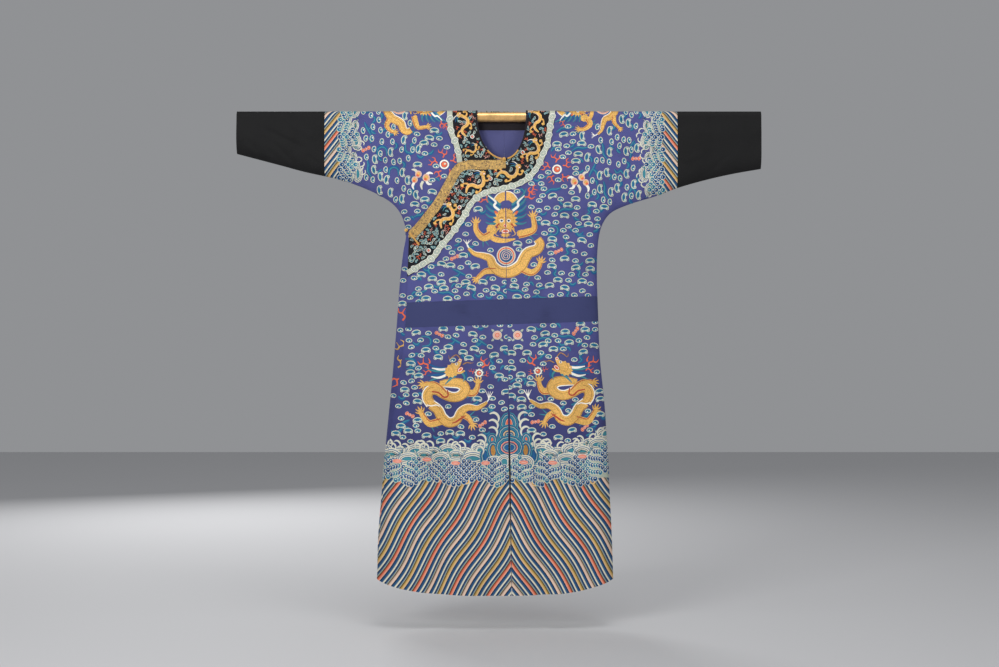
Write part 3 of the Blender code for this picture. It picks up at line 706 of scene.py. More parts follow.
def bodice_patches(side, face):
    """Half a bodice in one piece with its sleeve, from the shoulder fold to the waist band."""
    shares = half_shares(side)
    across = half_across(side)
    columns = across(np.array([ARMPITS[side]]), shares)
    corner = len(NECK_TURNS) + 1
    holds = {"at_left": HOLD_X, "at_right": HOLD_Y, "at_bottom": HOLD_Z}
    chest = strip(across, level(ARMPITS[side]), above_band, CHEST_ROWS, shares, **holds)
    neck = under_neck(side, face, columns[: corner + 1], HOLD_X)
    return neck, shoulder(side, columns[corner:]), chest


def underlap_patches():
    """The wearer's right front in one length, with its sleeve, most of it under the flap."""
    beyond = 1 + np.sin(np.linspace(0, math.pi / 2, EDGE_STEPS + 1))[1:]
    shares = np.concatenate([flap_shares()[1:], beyond])
    columns = flap_across(np.array([ARMPITS[-1]]), shares)
    corner = len(NECK_TURNS)
    lines = (
        (level(ARMPITS[-1]), above_band, CHEST_ROWS),
        (above_band, below_band, BAND_ROWS),
        (below_band, hem, SKIRT_ROWS),
    )
    lower = [strip(flap_across, *line, shares, at_right=HOLD_Y) for line in lines]
    upper = [under_neck(-1, FRONT, columns[: corner + 1], 0), shoulder(-1, columns[corner:])]
    return upper + lower


def finished(obj, slot_name=None, node_names=()):
    """Puts a new piece on the robe's body, in the place of its solids."""
    if obj.name not in bpy.context.scene.objects:
        bpy.context.scene.collection.objects.link(obj)
    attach(obj, BODY)
    if node_names:
        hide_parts(*node_names)
    return obj


def cloth_area(patches, lift, face):
    """The area that a panel's outer face measures along the cloth."""
    total = 0.0
    for x, drop, _ in patches:
        p = cloth(x, drop, lift(x, drop), face)
        a, b = p[1:, 1:] - p[:-1, :-1], p[1:, :-1] - p[:-1, 1:]
        total += float(np.linalg.norm(np.cross(a, b), axis=-1).sum() / 2)
    return total


def cloth_panel(name, patches, lift, thickness, face, look, slot_name):
    """A wall of cloth over grids of places, in the place of the solid that has its name."""
    bm = bmesh.new()
    mark = bm.verts.layers.float_vector.new("place")
    held = bm.verts.layers.int.new("held")
    for x, drop, hold in patches:
        rows, columns = x.shape
        grid = bmesh.ops.create_grid(bm, x_segments=columns - 1, y_segments=rows - 1, size=0.5)
        spots = cloth(x, drop, lift(x, drop), face).reshape(-1, 3)
        for vert, spot, at_x, at_drop, kept in zip(
            grid["verts"], spots, np.ravel(x), np.ravel(drop), np.ravel(hold)
        ):
            vert[mark] = (at_x, at_drop, 0)
            vert[held] = int(kept)
            vert.co = spot
    bmesh.ops.remove_doubles(bm, verts=bm.verts[:], dist=MERGE)
    made = bmesh.ops.extrude_face_region(bm, geom=bm.faces[:], use_keep_orig=True)["geom"]
    inner = [v for v in made if isinstance(v, bmesh.types.BMVert)]
    x, drop, _ = np.array([v[mark] for v in inner]).T
    for vert, spot in zip(inner, cloth(x, drop, lift(x, drop) - thickness, face)):
        kept = vert[held]
        vert.co = [vert.co[axis] if kept & (1 << axis) else spot[axis] for axis in range(3)]
    bmesh.ops.recalc_face_normals(bm, faces=bm.faces[:])
    if bm.calc_volume(signed=True) < 0:
        bmesh.ops.reverse_faces(bm, faces=bm.faces[:])
    mesh = bpy.data.meshes.new(name)
    bm.to_mesh(mesh)
    bm.free()
    mesh.materials.append(look)
    mesh.shade_smooth()
    mesh.set_sharp_from_angle(angle=math.radians(50))
    piece = finished(bpy.data.objects.new(name + "_cloth", mesh), slot_name, (name,))
    PANELS[name] = piece, cloth_area(patches, lift, face)


# The dyes of the motifs: those marked as thread of gold come last
DYES = (
    "cream",
    "white",
    "teal",
    "blue",
    "navy",
    "coral",
    "red",
    "pink",
    "sage",
    "beige",
    "ink",
    "amber",
    "gold",
)
LAY = 0.45 * MM
LAYER = 0.09 * MM
LONGEST = 8.0


class Motif:
    """A flat woven motif in millimetres: x to the right, y up, and z counting its layers."""

    def __init__(self):
        self.bm = bmesh.new()
        self.dye = self.bm.faces.layers.int.new("dye")

    def paint(self, faces, dye):
        for face in faces:
            face[self.dye] = DYES.index(dye)

    def disc(self, x, y, wide, high, *rings, turn=0.0, layer=0, segments=14, base=1.0):
        """An oval of rings, each a dye and a width, round a core dye; base flattens its foot."""
        made = bmesh.ops.create_circle(self.bm, cap_ends=True, segments=segments, radius=1)
        c, s = math.cos(turn), math.sin(turn)
        for vert in made["verts"]:
            px = vert.co.x * wide
            py = vert.co.y * high * (base if vert.co.y < 0 else 1)
            vert.co = (x + c * px - s * py, y + s * px + c * py, layer)
        core = made["verts"][0].link_faces[0]
        for dye, width in rings[:-1]:
            ring = bmesh.ops.inset_individual(
                self.bm, faces=[core], thickness=width, use_even_offset=True
            )
            self.paint(ring["faces"], dye)
        self.paint([core], rings[-1])

    def ribbon(self, points, half, dye, layer=0, rows=1, step=6.0, shift=0.0):
        """A band along a smooth line, with half widths spread evenly along it."""
        line = smooth_line(points) if len(points) > 2 else np.array(points, float)
        count = max(2, round(line_length(line) / step))
        line = spaced(line, count + 1)
        widths = np.interp(np.linspace(0, 1, count + 1), np.linspace(0, 1, len(half)), half)
        grid = bmesh.ops.create_grid(self.bm, x_segments=count, y_segments=rows, size=0.5)["verts"]
        for row in range(rows + 1):
            side = nudged(line, widths * (2 * row / rows - 1) + shift * widths)
            for vert, (x, y) in zip(grid[row * (count + 1) :], side):
                vert.co = (x, y, layer)
        self.paint({face for vert in grid for face in vert.link_faces}, dye)

    def cut(self, side, gap):
        """Keeps what lies past a gap on one side of the middle."""
        geometry = self.bm.verts[:] + self.bm.edges[:] + self.bm.faces[:]
        bmesh.ops.bisect_plane(
            self.bm,
            geom=geometry,
            plane_co=(side * gap, 0, 0),
            plane_no=(-side, 0, 0),
            clear_outer=True,
        )
        return self

    def woven(self):
        """The motif's points, faces and dyes, ready to be laid many times."""
        for _ in range(3):
            long = [edge for edge in self.bm.edges if edge.calc_length() > LONGEST]
            bmesh.ops.triangulate(self.bm, faces=list({f for edge in long for f in edge.link_faces}))
            long = [edge for edge in self.bm.edges if edge.calc_length() > LONGEST]
            bmesh.ops.subdivide_edges(self.bm, edges=long, cuts=1)
        self.bm.verts.index_update()
        points = np.array([vert.co for vert in self.bm.verts])
        faces = [[vert.index for vert in face.verts] for face in self.bm.faces]
        dyes = [face[self.dye] for face in self.bm.faces]
        self.bm.free()
        return points, faces, dyes


def laid(motif, x, drop, turn=0.0, size=1.0, flip=1, layer=0):
    """A motif placed on the cloth, as places, layers, faces and dyes."""
    points, faces, dyes = motif
    px, py = points[:, 0] * size * flip * MM, points[:, 1] * size * MM
    c, s = math.cos(turn), math.sin(turn)
    spots = np.column_stack([x + c * px - s * py, drop - s * px - c * py, points[:, 2] + layer])
    return spots, faces, dyes, flip


def weave(name, pieces, lift, face, slot_name):
    """Drapes motifs over a panel as one thin piece."""
    points = np.vstack([piece[0] for piece in pieces])
    faces, dyes, start = [], [], 0
    for spots, own, colours, flip in pieces:
        order = -1 if (flip < 0) != (face == BACK) else 1
        faces += [[start + corner for corner in corners[::order]] for corners in own]
        dyes += colours
        start += len(spots)
    x, drop, layers = points.T
    spots = cloth(x, drop, lift(x, drop) + LAY + LAYER * layers, face)
    mesh = bpy.data.meshes.new(name)
    mesh.from_pydata(spots.tolist(), [], faces)
    palette = np.array([[*getattr(bpy.context.scene.robe_dyes, dye), 1.0] for dye in DYES])
    dyes = np.array(dyes)
    sizes = np.array([len(corners) for corners in faces])
    colour = mesh.color_attributes.new("dye", "FLOAT_COLOR", "CORNER")
    colour.data.foreach_set("color", np.repeat(palette[dyes], sizes, axis=0).ravel())
    place = mesh.attributes.new("place", "FLOAT_VECTOR", "POINT")
    place.data.foreach_set("vector", np.column_stack([x, drop, layers * 0]).ravel())
    mesh.materials.append(dyed_silk())
    mesh.materials.append(gold_thread())
    mesh.polygons.foreach_set("material_index", (dyes >= DYES.index("amber")).astype(int))
    mesh.shade_smooth()
    return finished(bpy.data.objects.new(name, mesh), slot_name)


def as_pieces(patch, dye, layer=0):
    """A grid of places woven in one dye."""
    x, drop, _ = patch
    rows, columns = x.shape
    spots = np.column_stack([np.ravel(x), np.ravel(drop), np.full(x.size, layer)])
    at = np.arange(x.size).reshape(rows, columns)
    corners = np.stack([at[1:, :-1], at[1:, 1:], at[:-1, 1:], at[:-1, :-1]], -1)
    order = -1 if x[0, -1] < x[0, 0] else 1
    faces = corners.reshape(-1, 4)[:, ::order].tolist()
    return spots, faces, [DYES.index(dye)] * len(faces), 1


# Cloud heads, and the clusters that they grow in: stems, then heads as kind, x, y
HEADS = {
    "cap": (13.5, 9.0),
    "bud": (9.5, 7.4),
}
CLUSTERS = (
    (
        (((-8, 12), (3, 5), (-4, -5), (8, -13)),),
        (("cap", -8, 18), ("cap", 8, -22), ("bud", -21, -1), ("bud", 19, -3)),
    ),
    (
        (((-27, 6), (-10, 2), (6, 3), (24, -8)),),
        (("cap", -6, 16), ("cap", 3, -15), ("bud", -33, 8), ("bud", 31, -12), ("bud", 25, 7)),
    ),
    (
        (((17, 15), (-4, 13), (-11, 0), (-4, -12), (15, -14)),),
        (("cap", 26, 20), ("bud", -3, 23), ("bud", -25, 1), ("cap", 5, -25), ("bud", 28, -10)),
    ),
    (
        (((-20, -9), (-6, -3), (8, 5), (20, 10)), ((-2, 0), (4, -10), (18, -12))),
        (("bud", -27, -11), ("cap", 25, 20), ("bud", -4, 14), ("cap", 16, -21)),
    ),
)
TAILS = (
    ((2, -3), (8, -12), (17, -11), (22, -4)),
    ((-3, -3), (1, -13), (12, -15)),
    ((3, 2), (14, 5), (20, -4)),
)
HEAD_STRETCH = 1.7
CLUSTER_APART = 15.0
FILL_APART = {"cap": 17.2, "bud": 14.6}
FILL_PITCH = (0.014, 0.011)
ROW_PITCH = 0.80
EDGE_CLEAR = 0.95
TAKEN_CLEAR = 0.64


def cloud_head(kind, colours=("cream", "teal", "blue", "white")):
    wide, high = HEADS[kind]
    rim, inner, core, dot = colours
    made = Motif()
    if kind == "cap":
        made.disc(0, 0, wide, high, (rim, 2.0), (inner, 2.5), core, base=0.5)
        for x in (-8.6, 8.6):
            made.disc(x, -3.4, 4.7, 4.0, (rim, 1.4), inner, segments=10, layer=1)
            made.disc(x * 0.93, -3.2, 1.8, 1.6, dot, segments=6, layer=2)
    else:
        made.disc(0, 0, wide, high, (rim, 1.8), (inner, 2.2), core, segments=12, base=0.75)
        made.disc(1.6, -0.8, 2.1, 1.8, dot, segments=6, layer=1)
    return made.woven()


def stem(line):
    made = Motif()
    made.ribbon(line, (2.0, 4.2, 4.8, 4.2, 2.0), "blue", layer=-2)
    made.ribbon(line, (0.7, 1.3, 1.5, 1.3, 0.7), "teal", layer=-1, shift=1.1)
    return made.woven()


def in_outline(outline, x, drop):
    """Whether places lie in a closed outline, and how far they are from its edge."""
    a, b = outline, np.roll(outline, -1, axis=0)
    x, drop = np.atleast_1d(x)[:, None], np.atleast_1d(drop)[:, None]
    crosses = (a[:, 1] > drop) != (b[:, 1] > drop)
    rise = np.where(a[:, 1] == b[:, 1], 1, b[:, 1] - a[:, 1])
    at = a[:, 0] + (drop - a[:, 1]) / rise * (b[:, 0] - a[:, 0])
    inside = (crosses & (x < at)).sum(1) % 2 == 1
    run = b - a
    share = ((x - a[:, 0]) * run[:, 0] + (drop - a[:, 1]) * run[:, 1]) / np.maximum(
        (run**2).sum(1), 1e-12
    )
    share = np.clip(share, 0, 1)
    gap = np.hypot(x - a[:, 0] - share * run[:, 0], drop - a[:, 1] - share * run[:, 1]).min(1)
    return inside, gap


def clouds(outline, taken, seed):
    """Cloud clusters over a ground, clear of the motifs that are there already."""
    sizes = bpy.context.scene.robe_sizes
    draw = np.random.default_rng(seed)
    tree = tree_of(taken)
    heads = {kind: cloud_head(kind) for kind in HEADS}
    stems = [[stem(line) for line in lines] for lines, _ in CLUSTERS]
    tails = [stem(line) for line in TAILS]
    low, high = outline.min(0), outline.max(0)
    made, spots = [], [(9.0, 9.0)]

    def fits(x, drop, reach, apart=0.0, turn=0.0):
        inside, gap = in_outline(outline, x, drop)
        if not inside[0] or gap[0] < reach * EDGE_CLEAR:
            return False
        if len(taken) and tree.find((x, drop, 0))[2] < reach * TAKEN_CLEAR + MM:
            return False
        if not apart:
            return True
        c, s = math.cos(turn), math.sin(turn)
        away = np.array(spots) - (x, drop)
        return np.hypot(away @ (c, -s) / HEAD_STRETCH, away @ (s, c)).min() > apart

    def grow(head, x, drop, turn, apart, flip):
        reach = HEADS[head][0] * MM
        if not fits(x, drop, reach, apart, turn):
            return False
        made.append(laid(heads[head], x, drop, turn, 1.0, flip, 2))
        spots.append((x, drop))
        return True

    def at_grid(across, down):
        for row, drop in enumerate(np.arange(low[1], high[1] + down, down)):
            for x in np.arange(low[0], high[0] + across, across):
                place = draw.normal((x + across / 2 * (row % 2), drop), 0.05 * across)
                upright = abs(place[0]) > 0.245 and place[1] < 0.25
                yield (*place, math.pi / 2 * upright + draw.normal(0, 0.08))

    for x, drop, turn in at_grid(sizes.cloud_pitch, sizes.cloud_pitch * ROW_PITCH):
        kind, flip = int(draw.integers(len(CLUSTERS))), int(draw.choice((-1, 1)))
        c, s = math.cos(turn), math.sin(turn)
        for head, px, py in CLUSTERS[kind][1]:
            dx, dy = px * flip * MM, py * MM
            spot = (x + c * dx - s * dy, drop - s * dx - c * dy)
            grow(head, *spot, turn + draw.normal(0, 0.1), CLUSTER_APART * MM, flip)
        for woven, line in zip(stems[kind], CLUSTERS[kind][0]):
            ends = np.array(line) * (flip * MM, MM)
            along = [(x + c * a - s * b, drop - s * a - c * b) for a, b in ends]
            if all(fits(*spot, 3 * MM) for spot in along):
                made.append(laid(woven, x, drop, turn, 1.0, flip, 2))
    for x, drop, turn in at_grid(*FILL_PITCH):
        flip = int(draw.choice((-1, 1)))
        head = "cap" if draw.random() < 0.5 else "bud"
        if grow(head, x, drop, turn, FILL_APART[head] * MM, flip):
            tail = int(draw.integers(len(TAILS)))
            if fits(x + flip * 8 * MM * math.cos(turn), drop + 6 * MM, 7 * MM):
                made.append(laid(tails[tail], x, drop, turn, 1.0, flip, 1))
    return made


class Nodes:
    """Adds and joins the nodes of one tree."""

    def __init__(self, tree):
        self.tree = tree

    def add(self, kind, inputs=(), **settings):
        node = self.tree.nodes.new(kind)
        for name, value in settings.items():
            setattr(node, name, value)
        for key, value in dict(inputs).items():
            if isinstance(value, bpy.types.NodeSocket):
                self.tree.links.new(value, node.inputs[key])
            else:
                node.inputs[key].default_value = value
        return node

    def math(self, operation, a, b=0.0, c=0.0):
        made = self.add("ShaderNodeMath", {0: a, 1: b, 2: c}, operation=operation)
        return made.outputs[0]

    def mix(self, share, a, b, blend="MIX"):
        made = self.add(
            "ShaderNodeMix", {0: share, 6: a, 7: b}, data_type="RGBA", blend_type=blend
        )
        return made.outputs[2]

    def ramp(self, share, *stops):
        made = self.add("ShaderNodeValToRGB", {0: share})
        line = made.color_ramp.elements
        while len(line) < len(stops):
            line.new(0.5)
        for element, (at, colour) in zip(line, stops):
            element.position = at
            element.color = (*colour, 1) if len(colour) == 3 else colour
        return made.outputs[0]

    def noise(self, vector, scale, detail=2.0, rough=0.5):
        inputs = {"Vector": vector, "Scale": scale, "Detail": detail, "Roughness": rough}
        return self.add("ShaderNodeTexNoise", inputs).outputs[0]

    def stretched(self, vector, scale):
        made = self.add("ShaderNodeMapping", {"Vector": vector, "Scale": scale})
        return made.outputs[0]


def shade(value):
    return (value, value, value)


def toned(dye, share, lift=0.0):
    """A dye made paler or darker."""
    return tuple(share * c + lift for c in dye)


def tree_group(name, inputs, outputs):
    """A shader group with named inputs and outputs, built once."""
    tree = bpy.data.node_groups.new(name, "ShaderNodeTree")
    for label, kind in inputs:
        tree.interface.new_socket(label, in_out="INPUT", socket_type=kind)
    for label, kind in outputs:
        tree.interface.new_socket(label, in_out="OUTPUT", socket_type=kind)
    nodes = Nodes(tree)
    return tree, nodes, nodes.add("NodeGroupInput").outputs, nodes.add("NodeGroupOutput").inputs


def weave_group():
    """Warp ribs, weft threads and the slow unevenness of old silk."""
    if "Silk weave" in bpy.data.node_groups:
        return bpy.data.node_groups["Silk weave"]
    tree, nodes, given, out = tree_group(
        "Silk weave",
        (("Place", "NodeSocketVector"), ("Ribs", "NodeSocketFloat"), ("Fading", "NodeSocketFloat")),
        (("Height", "NodeSocketFloat"), ("Tone", "NodeSocketColor")),
    )
    parts = nodes.add("ShaderNodeSeparateXYZ", {0: given["Place"]})
    across = nodes.math("MULTIPLY", parts.outputs[0], given["Ribs"])
    rib = nodes.math("SINE", nodes.math("MULTIPLY", across, 2 * math.pi))
    weft = nodes.noise(nodes.stretched(given["Place"], (90.0, 1100.0, 1.0)), 1.0, 3.0, 0.6)
    slub = nodes.noise(nodes.stretched(given["Place"], (22.0, 420.0, 1.0)), 1.0, 3.0, 0.6)
    cloudy = nodes.noise(given["Place"], 13.0, 4.0, 0.55)
    height = nodes.math("MULTIPLY_ADD", rib, 0.22, nodes.math("MULTIPLY", weft, 0.9))
    threads = nodes.math("MULTIPLY_ADD", weft, 0.5, nodes.math("MULTIPLY", slub, 0.5))
    worn = nodes.math("MULTIPLY_ADD", cloudy, given["Fading"], nodes.math("MULTIPLY", threads, 0.6))
    tone = nodes.ramp(worn, (0.25, shade(0.70)), (0.75, shade(1.30)))
    tree.links.new(height, out["Height"])
    tree.links.new(tone, out["Tone"])
    return tree


def stripes_group():
    """The slanting stripes: a wide accent, then sage, blue, cream and blue ones, each shaded."""
    if "Standing water stripes" in bpy.data.node_groups:
        return bpy.data.node_groups["Standing water stripes"]
    dyes = bpy.context.scene.robe_dyes
    tree, nodes, given, out = tree_group(
        "Standing water stripes",
        (("Across", "NodeSocketFloat"), ("Repeat", "NodeSocketFloat")),
        (("Colour", "NodeSocketColor"),),
    )
    turns = nodes.math("DIVIDE", given["Across"], given["Repeat"])
    part = nodes.math("FRACT", turns)
    whole = nodes.math("FLOOR", turns)
    third = nodes.math("DIVIDE", nodes.math("FLOORED_MODULO", whole, 3.0), 3.0)
    accent = nodes.add("ShaderNodeValToRGB", {0: third})
    accent.color_ramp.interpolation = "CONSTANT"
    line = accent.color_ramp.elements
    line[0].position, line[0].color = 0.0, (*dyes.coral, 1)
    line[1].position, line[1].color = 0.3, (*dyes.stripe_gold, 1)
    last = line.new(0.6)
    last.color = (*dyes.beige, 1)
    plain = nodes.ramp(
        part,
        (0.34, dyes.sage),
        (0.41, toned(dyes.sage, 0.5)),
        (0.44, dyes.blue),
        (0.52, dyes.navy),
        (0.58, toned(dyes.navy, 0.5)),
        (0.60, toned(dyes.cream, 1.12)),
        (0.69, toned(dyes.cream, 1.05)),
        (0.735, toned(dyes.cream, 0.4)),
        (0.76, toned(dyes.blue, 0.85, 0.02)),
        (0.90, toned(dyes.blue, 0.6)),
        (0.96, toned(dyes.navy, 0.6)),
    )
    depth = nodes.ramp(
        part, (0.0, shade(1.25)), (0.10, shade(1.12)), (0.19, shade(0.85)), (0.25, shade(0.45))
    )
    pale = nodes.ramp(
        part, (0.0, shade(0.80)), (0.08, shade(0.40)), (0.15, shade(0.12)), (0.22, shade(0.0))
    )
    accent_shaded = nodes.mix(1.0, accent.outputs[0], depth, "MULTIPLY")
    accent_pale = nodes.mix(pale, accent_shaded, (*dyes.beige, 1))
    edge = nodes.ramp(part, (0.25, shade(0.0)), (0.28, shade(1.0)))
    edged = nodes.mix(edge, accent_pale, (*dyes.ink, 1))
    on_plain = nodes.math("GREATER_THAN", part, 0.335)
    colour = nodes.mix(on_plain, edged, plain)
    tree.links.new(colour, out["Colour"])
    return tree


def stitched(name, build, specular=0.3):
    """A material made once: build returns its colour, roughness, metal share and bump height."""
    if name in bpy.data.materials:
        return bpy.data.materials[name]
    made = bpy.data.materials.new(name)
    made.use_nodes = True
    shader = made.node_tree.nodes["Principled BSDF"]
    nodes = Nodes(made.node_tree)
    place = nodes.add("ShaderNodeAttribute", attribute_name="place").outputs["Vector"]
    colour, roughness, metal, height, depth = build(nodes, place)
    for key, value in (("Base Color", colour), ("Roughness", roughness), ("Metallic", metal)):
        if isinstance(value, bpy.types.NodeSocket):
            made.node_tree.links.new(value, shader.inputs[key])
        else:
            shader.inputs[key].default_value = value
    shader.inputs["Specular IOR Level"].default_value = specular
    bump = nodes.add("ShaderNodeBump", {"Height": height, "Distance": depth, "Strength": 0.8})
    made.node_tree.links.new(bump.outputs[0], shader.inputs["Normal"])
    return made


def silk(nodes, place, ribs=700.0, fading=0.7):
    made = nodes.add("ShaderNodeGroup", node_tree=weave_group())
    nodes.tree.links.new(place, made.inputs["Place"])
    made.inputs["Ribs"].default_value = ribs
    made.inputs["Fading"].default_value = fading
    return made.outputs["Height"], made.outputs["Tone"]


def dyed_silk():
    def build(nodes, place):
        height, tone = silk(nodes, place)
        dye = nodes.add("ShaderNodeAttribute", attribute_name="dye").outputs["Color"]
        return nodes.mix(1.0, dye, tone, "MULTIPLY"), 0.72, 0.0, height, 0.00025

    return stitched("silk_dyes", build)


def gold_thread():
    def build(nodes, place):
        height, tone = silk(nodes, place, 900.0)
        dye = nodes.add("ShaderNodeAttribute", attribute_name="dye").outputs["Color"]
        scales = nodes.add("ShaderNodeTexVoronoi", {"Vector": place, "Scale": 400.0})
        scale = nodes.ramp(scales.outputs["Distance"], (0.2, shade(1.08)), (0.62, shade(0.74)))
        wrapped = nodes.noise(nodes.stretched(place, (240.0, 900.0, 1.0)), 1.0, 2.0)
        rough = nodes.math("MULTIPLY_ADD", wrapped, 0.3, 0.34)
        colour = nodes.mix(1.0, nodes.mix(1.0, dye, scale, "MULTIPLY"), tone, "MULTIPLY")
        return colour, rough, 0.35, nodes.math("ADD", height, scales.outputs["Distance"]), 0.0003

    return stitched("gold_thread", build, 0.5)


def woven_silk():
    """The blue ground, darker from below the waist band down to the sea, with the stripes of the hem and
    sleeve ends.
    """
    dyes, sizes = bpy.context.scene.robe_dyes, bpy.context.scene.robe_sizes

    def build(nodes, place):
        height, tone = silk(nodes, place, 700.0, 0.85)
        parts = nodes.add("ShaderNodeSeparateXYZ", {0: place})
        x, drop = parts.outputs[0], parts.outputs[1]
        # The ground's colour darkens smoothly from a drop of 0.56 m to 0.92 m, towards the lower ground
        # colour
        lower = nodes.ramp(drop, (0.56, shade(0.0)), (0.92, shade(1.0)))
        ground = nodes.mix(lower, (*dyes.ground, 1), (*dyes.ground_low, 1))
        ground = nodes.mix(1.0, ground, tone, "MULTIPLY")
        seam = nodes.math("MULTIPLY_ADD", drop, SEAM_SHIFT, SEAM_AT_ROD)
        out = nodes.math("ABSOLUTE", nodes.math("SUBTRACT", x, seam))
        bend = nodes.math("MULTIPLY_ADD", drop, SWAY_DOWN, nodes.math("MULTIPLY", out, SWAY_OUT))
        sway = nodes.math("MULTIPLY", nodes.math("SINE", bend), SWAY)
        slant = nodes.math("MULTIPLY_ADD", drop, HEM_SLANT, nodes.math("ADD", out, sway))
        at_hem = nodes.add("ShaderNodeGroup", node_tree=stripes_group())
        nodes.tree.links.new(slant, at_hem.inputs["Across"])
        at_hem.inputs["Repeat"].default_value = sizes.stripe_repeat
        leaning = nodes.math("MULTIPLY_ADD", drop, SLEEVE_SLANT, nodes.math("ABSOLUTE", x))
        at_sleeve = nodes.add("ShaderNodeGroup", node_tree=stripes_group())
        nodes.tree.links.new(leaning, at_sleeve.inputs["Across"])
        at_sleeve.inputs["Repeat"].default_value = sizes.stripe_repeat * 0.95
        in_hem = nodes.math("GREATER_THAN", drop, SEA_LOW - 0.02)
        in_sleeve = nodes.math("GREATER_THAN", nodes.math("ABSOLUTE", x), SLEEVE_SEA[1] - 0.012)
        threads = nodes.mix(0.5, tone, (1, 1, 1, 1))
        hem_dye = nodes.mix(1.0, at_hem.outputs[0], threads, "MULTIPLY")
        sleeve_dye = nodes.mix(1.0, at_sleeve.outputs[0], threads, "MULTIPLY")
        colour = nodes.mix(in_sleeve, nodes.mix(in_hem, ground, hem_dye), sleeve_dye)
        return colour, 0.74, 0.0, height, 0.0003

    return stitched("woven_silk_ground", build, 0.25)


def plain_cloth(name, dye, ribs, fading, rough, depth, specular=0.25):
    def build(nodes, place):
        height, tone = silk(nodes, place, ribs, fading)
        return nodes.mix(1.0, (*dye, 1), tone, "MULTIPLY"), rough, 0.0, height, depth

    return stitched(name, build, specular)


def braid_look():
    """Gold brocade with a dark fret between its threads."""
    dyes = bpy.context.scene.robe_dyes

    def build(nodes, place):
        height, tone = silk(nodes, place, 900.0, 0.5)
        cells = nodes.add(
            "ShaderNodeTexVoronoi",
            {"Vector": place, "Scale": 230.0},
            distance="CHEBYCHEV",
            feature="F1",
        )
        fret = nodes.math("PINGPONG", nodes.math("MULTIPLY", cells.outputs["Distance"], 2.6), 0.5)
        dark = nodes.ramp(fret, (0.16, shade(1.0)), (0.30, shade(0.0)))
        gold = nodes.mix(1.0, (*dyes.braid, 1), tone, "MULTIPLY")
        colour = nodes.mix(nodes.math("MULTIPLY", dark, 0.75), gold, (*dyes.ink, 1))
        metal = nodes.math("MULTIPLY_ADD", dark, -0.4, 0.45)
        return colour, 0.42, metal, nodes.math("ADD", height, fret), 0.0004

    return stitched("gold_braid_brocade", build, 0.5)


def brass_look():
    """Drawn brass tube with faint lengthwise lines and darker handling marks."""
    if "brass_tube" in bpy.data.materials:
        return bpy.data.materials["brass_tube"]
    dyes = bpy.context.scene.robe_dyes
    made = bpy.data.materials.new("brass_tube")
    made.use_nodes = True
    shader = made.node_tree.nodes["Principled BSDF"]
    nodes = Nodes(made.node_tree)
    at = nodes.add("ShaderNodeTexCoord").outputs["Object"]
    drawn = nodes.noise(nodes.stretched(at, (9.0, 900.0, 900.0)), 1.0, 2.0)
    marks = nodes.noise(at, 42.0, 5.0, 0.62)
    colour = nodes.ramp(marks, (0.34, toned(dyes.brass, 0.68)), (0.56, dyes.brass))
    rough = nodes.math("MULTIPLY_ADD", marks, -0.16, nodes.math("MULTIPLY_ADD", drawn, 0.12, 0.34))
    made.node_tree.links.new(colour, shader.inputs["Base Color"])
    made.node_tree.links.new(rough, shader.inputs["Roughness"])
    shader.inputs["Metallic"].default_value = 0.72
    bump = nodes.add("ShaderNodeBump", {"Height": drawn, "Distance": 0.00005, "Strength": 0.5})
    made.node_tree.links.new(bump.outputs[0], shader.inputs["Normal"])
    return made


def dye_property(name, colour, description):
    return bpy.props.FloatVectorProperty(
        name=name, description=description, subtype="COLOR", size=3, min=0, max=1, default=colour
    )


class RobeDyes(bpy.types.PropertyGroup):
    """Colours of the silks and metal threads."""

    ground: dye_property("Ground", (0.068, 0.073, 0.222), "Blue ground above the waist")
    # The lower ground is the colour that the ground darkens to towards the hem
    ground_low: dye_property("Lower ground", (0.037, 0.041, 0.138), "Blue ground of the skirts")
    band: dye_property("Waist band", (0.038, 0.045, 0.125), "Plain band at the waist")
    sleeve: dye_property("Sleeve ends", (0.0095, 0.0095, 0.0098), "Plain black sleeve ends")
    yoke: dye_property("Yoke", (0.008, 0.008, 0.011), "Black ground of the yoke")
    lining: dye_property("Lining", (0.058, 0.062, 0.190), "Silk lining inside the back")
    binding: dye_property("Binding", (0.009, 0.006, 0.009), "Binding round the neck")
    braid: dye_property("Braid", (0.640, 0.400, 0.120), "Gold brocade braid")
    brass: dye_property("Brass", (1.000, 0.605, 0.235), "Hanging rod")
    stripe_gold: dye_property("Gold stripe", (0.560, 0.350, 0.075), "Gold stripes of the hem")
    cream: dye_property("Cream", (0.640, 0.620, 0.500), "Cloud edges and wave crests")
    white: dye_property("White", (0.830, 0.800, 0.720), "Spines, horns and dots")
    teal: dye_property("Teal", (0.045, 0.225, 0.270), "Inside of the clouds")
    blue: dye_property("Blue", (0.012, 0.100, 0.260), "Cloud stems and stripes")
    navy: dye_property("Navy", (0.008, 0.025, 0.085), "Dark stripes and outlines")
    coral: dye_property("Coral", (0.720, 0.135, 0.060), "Flames, bats and stripes")
    red: dye_property("Red", (0.400, 0.045, 0.030), "Shading on the dragons")
    pink: dye_property("Pink", (0.740, 0.360, 0.290), "Blossoms and patches in the sea")
    sage: dye_property("Sage", (0.400, 0.450, 0.370), "Pale green arcs and stripes")
    beige: dye_property("Beige", (0.690, 0.500, 0.385), "Wide pale stripes")
    ink: dye_property("Ink", (0.070, 0.038, 0.024), "Dark edges and pupils")
    amber: dye_property("Amber", (0.480, 0.230, 0.050), "Shaded gold thread")
    gold: dye_property("Gold", (0.800, 0.460, 0.115), "Gold thread of the dragons")


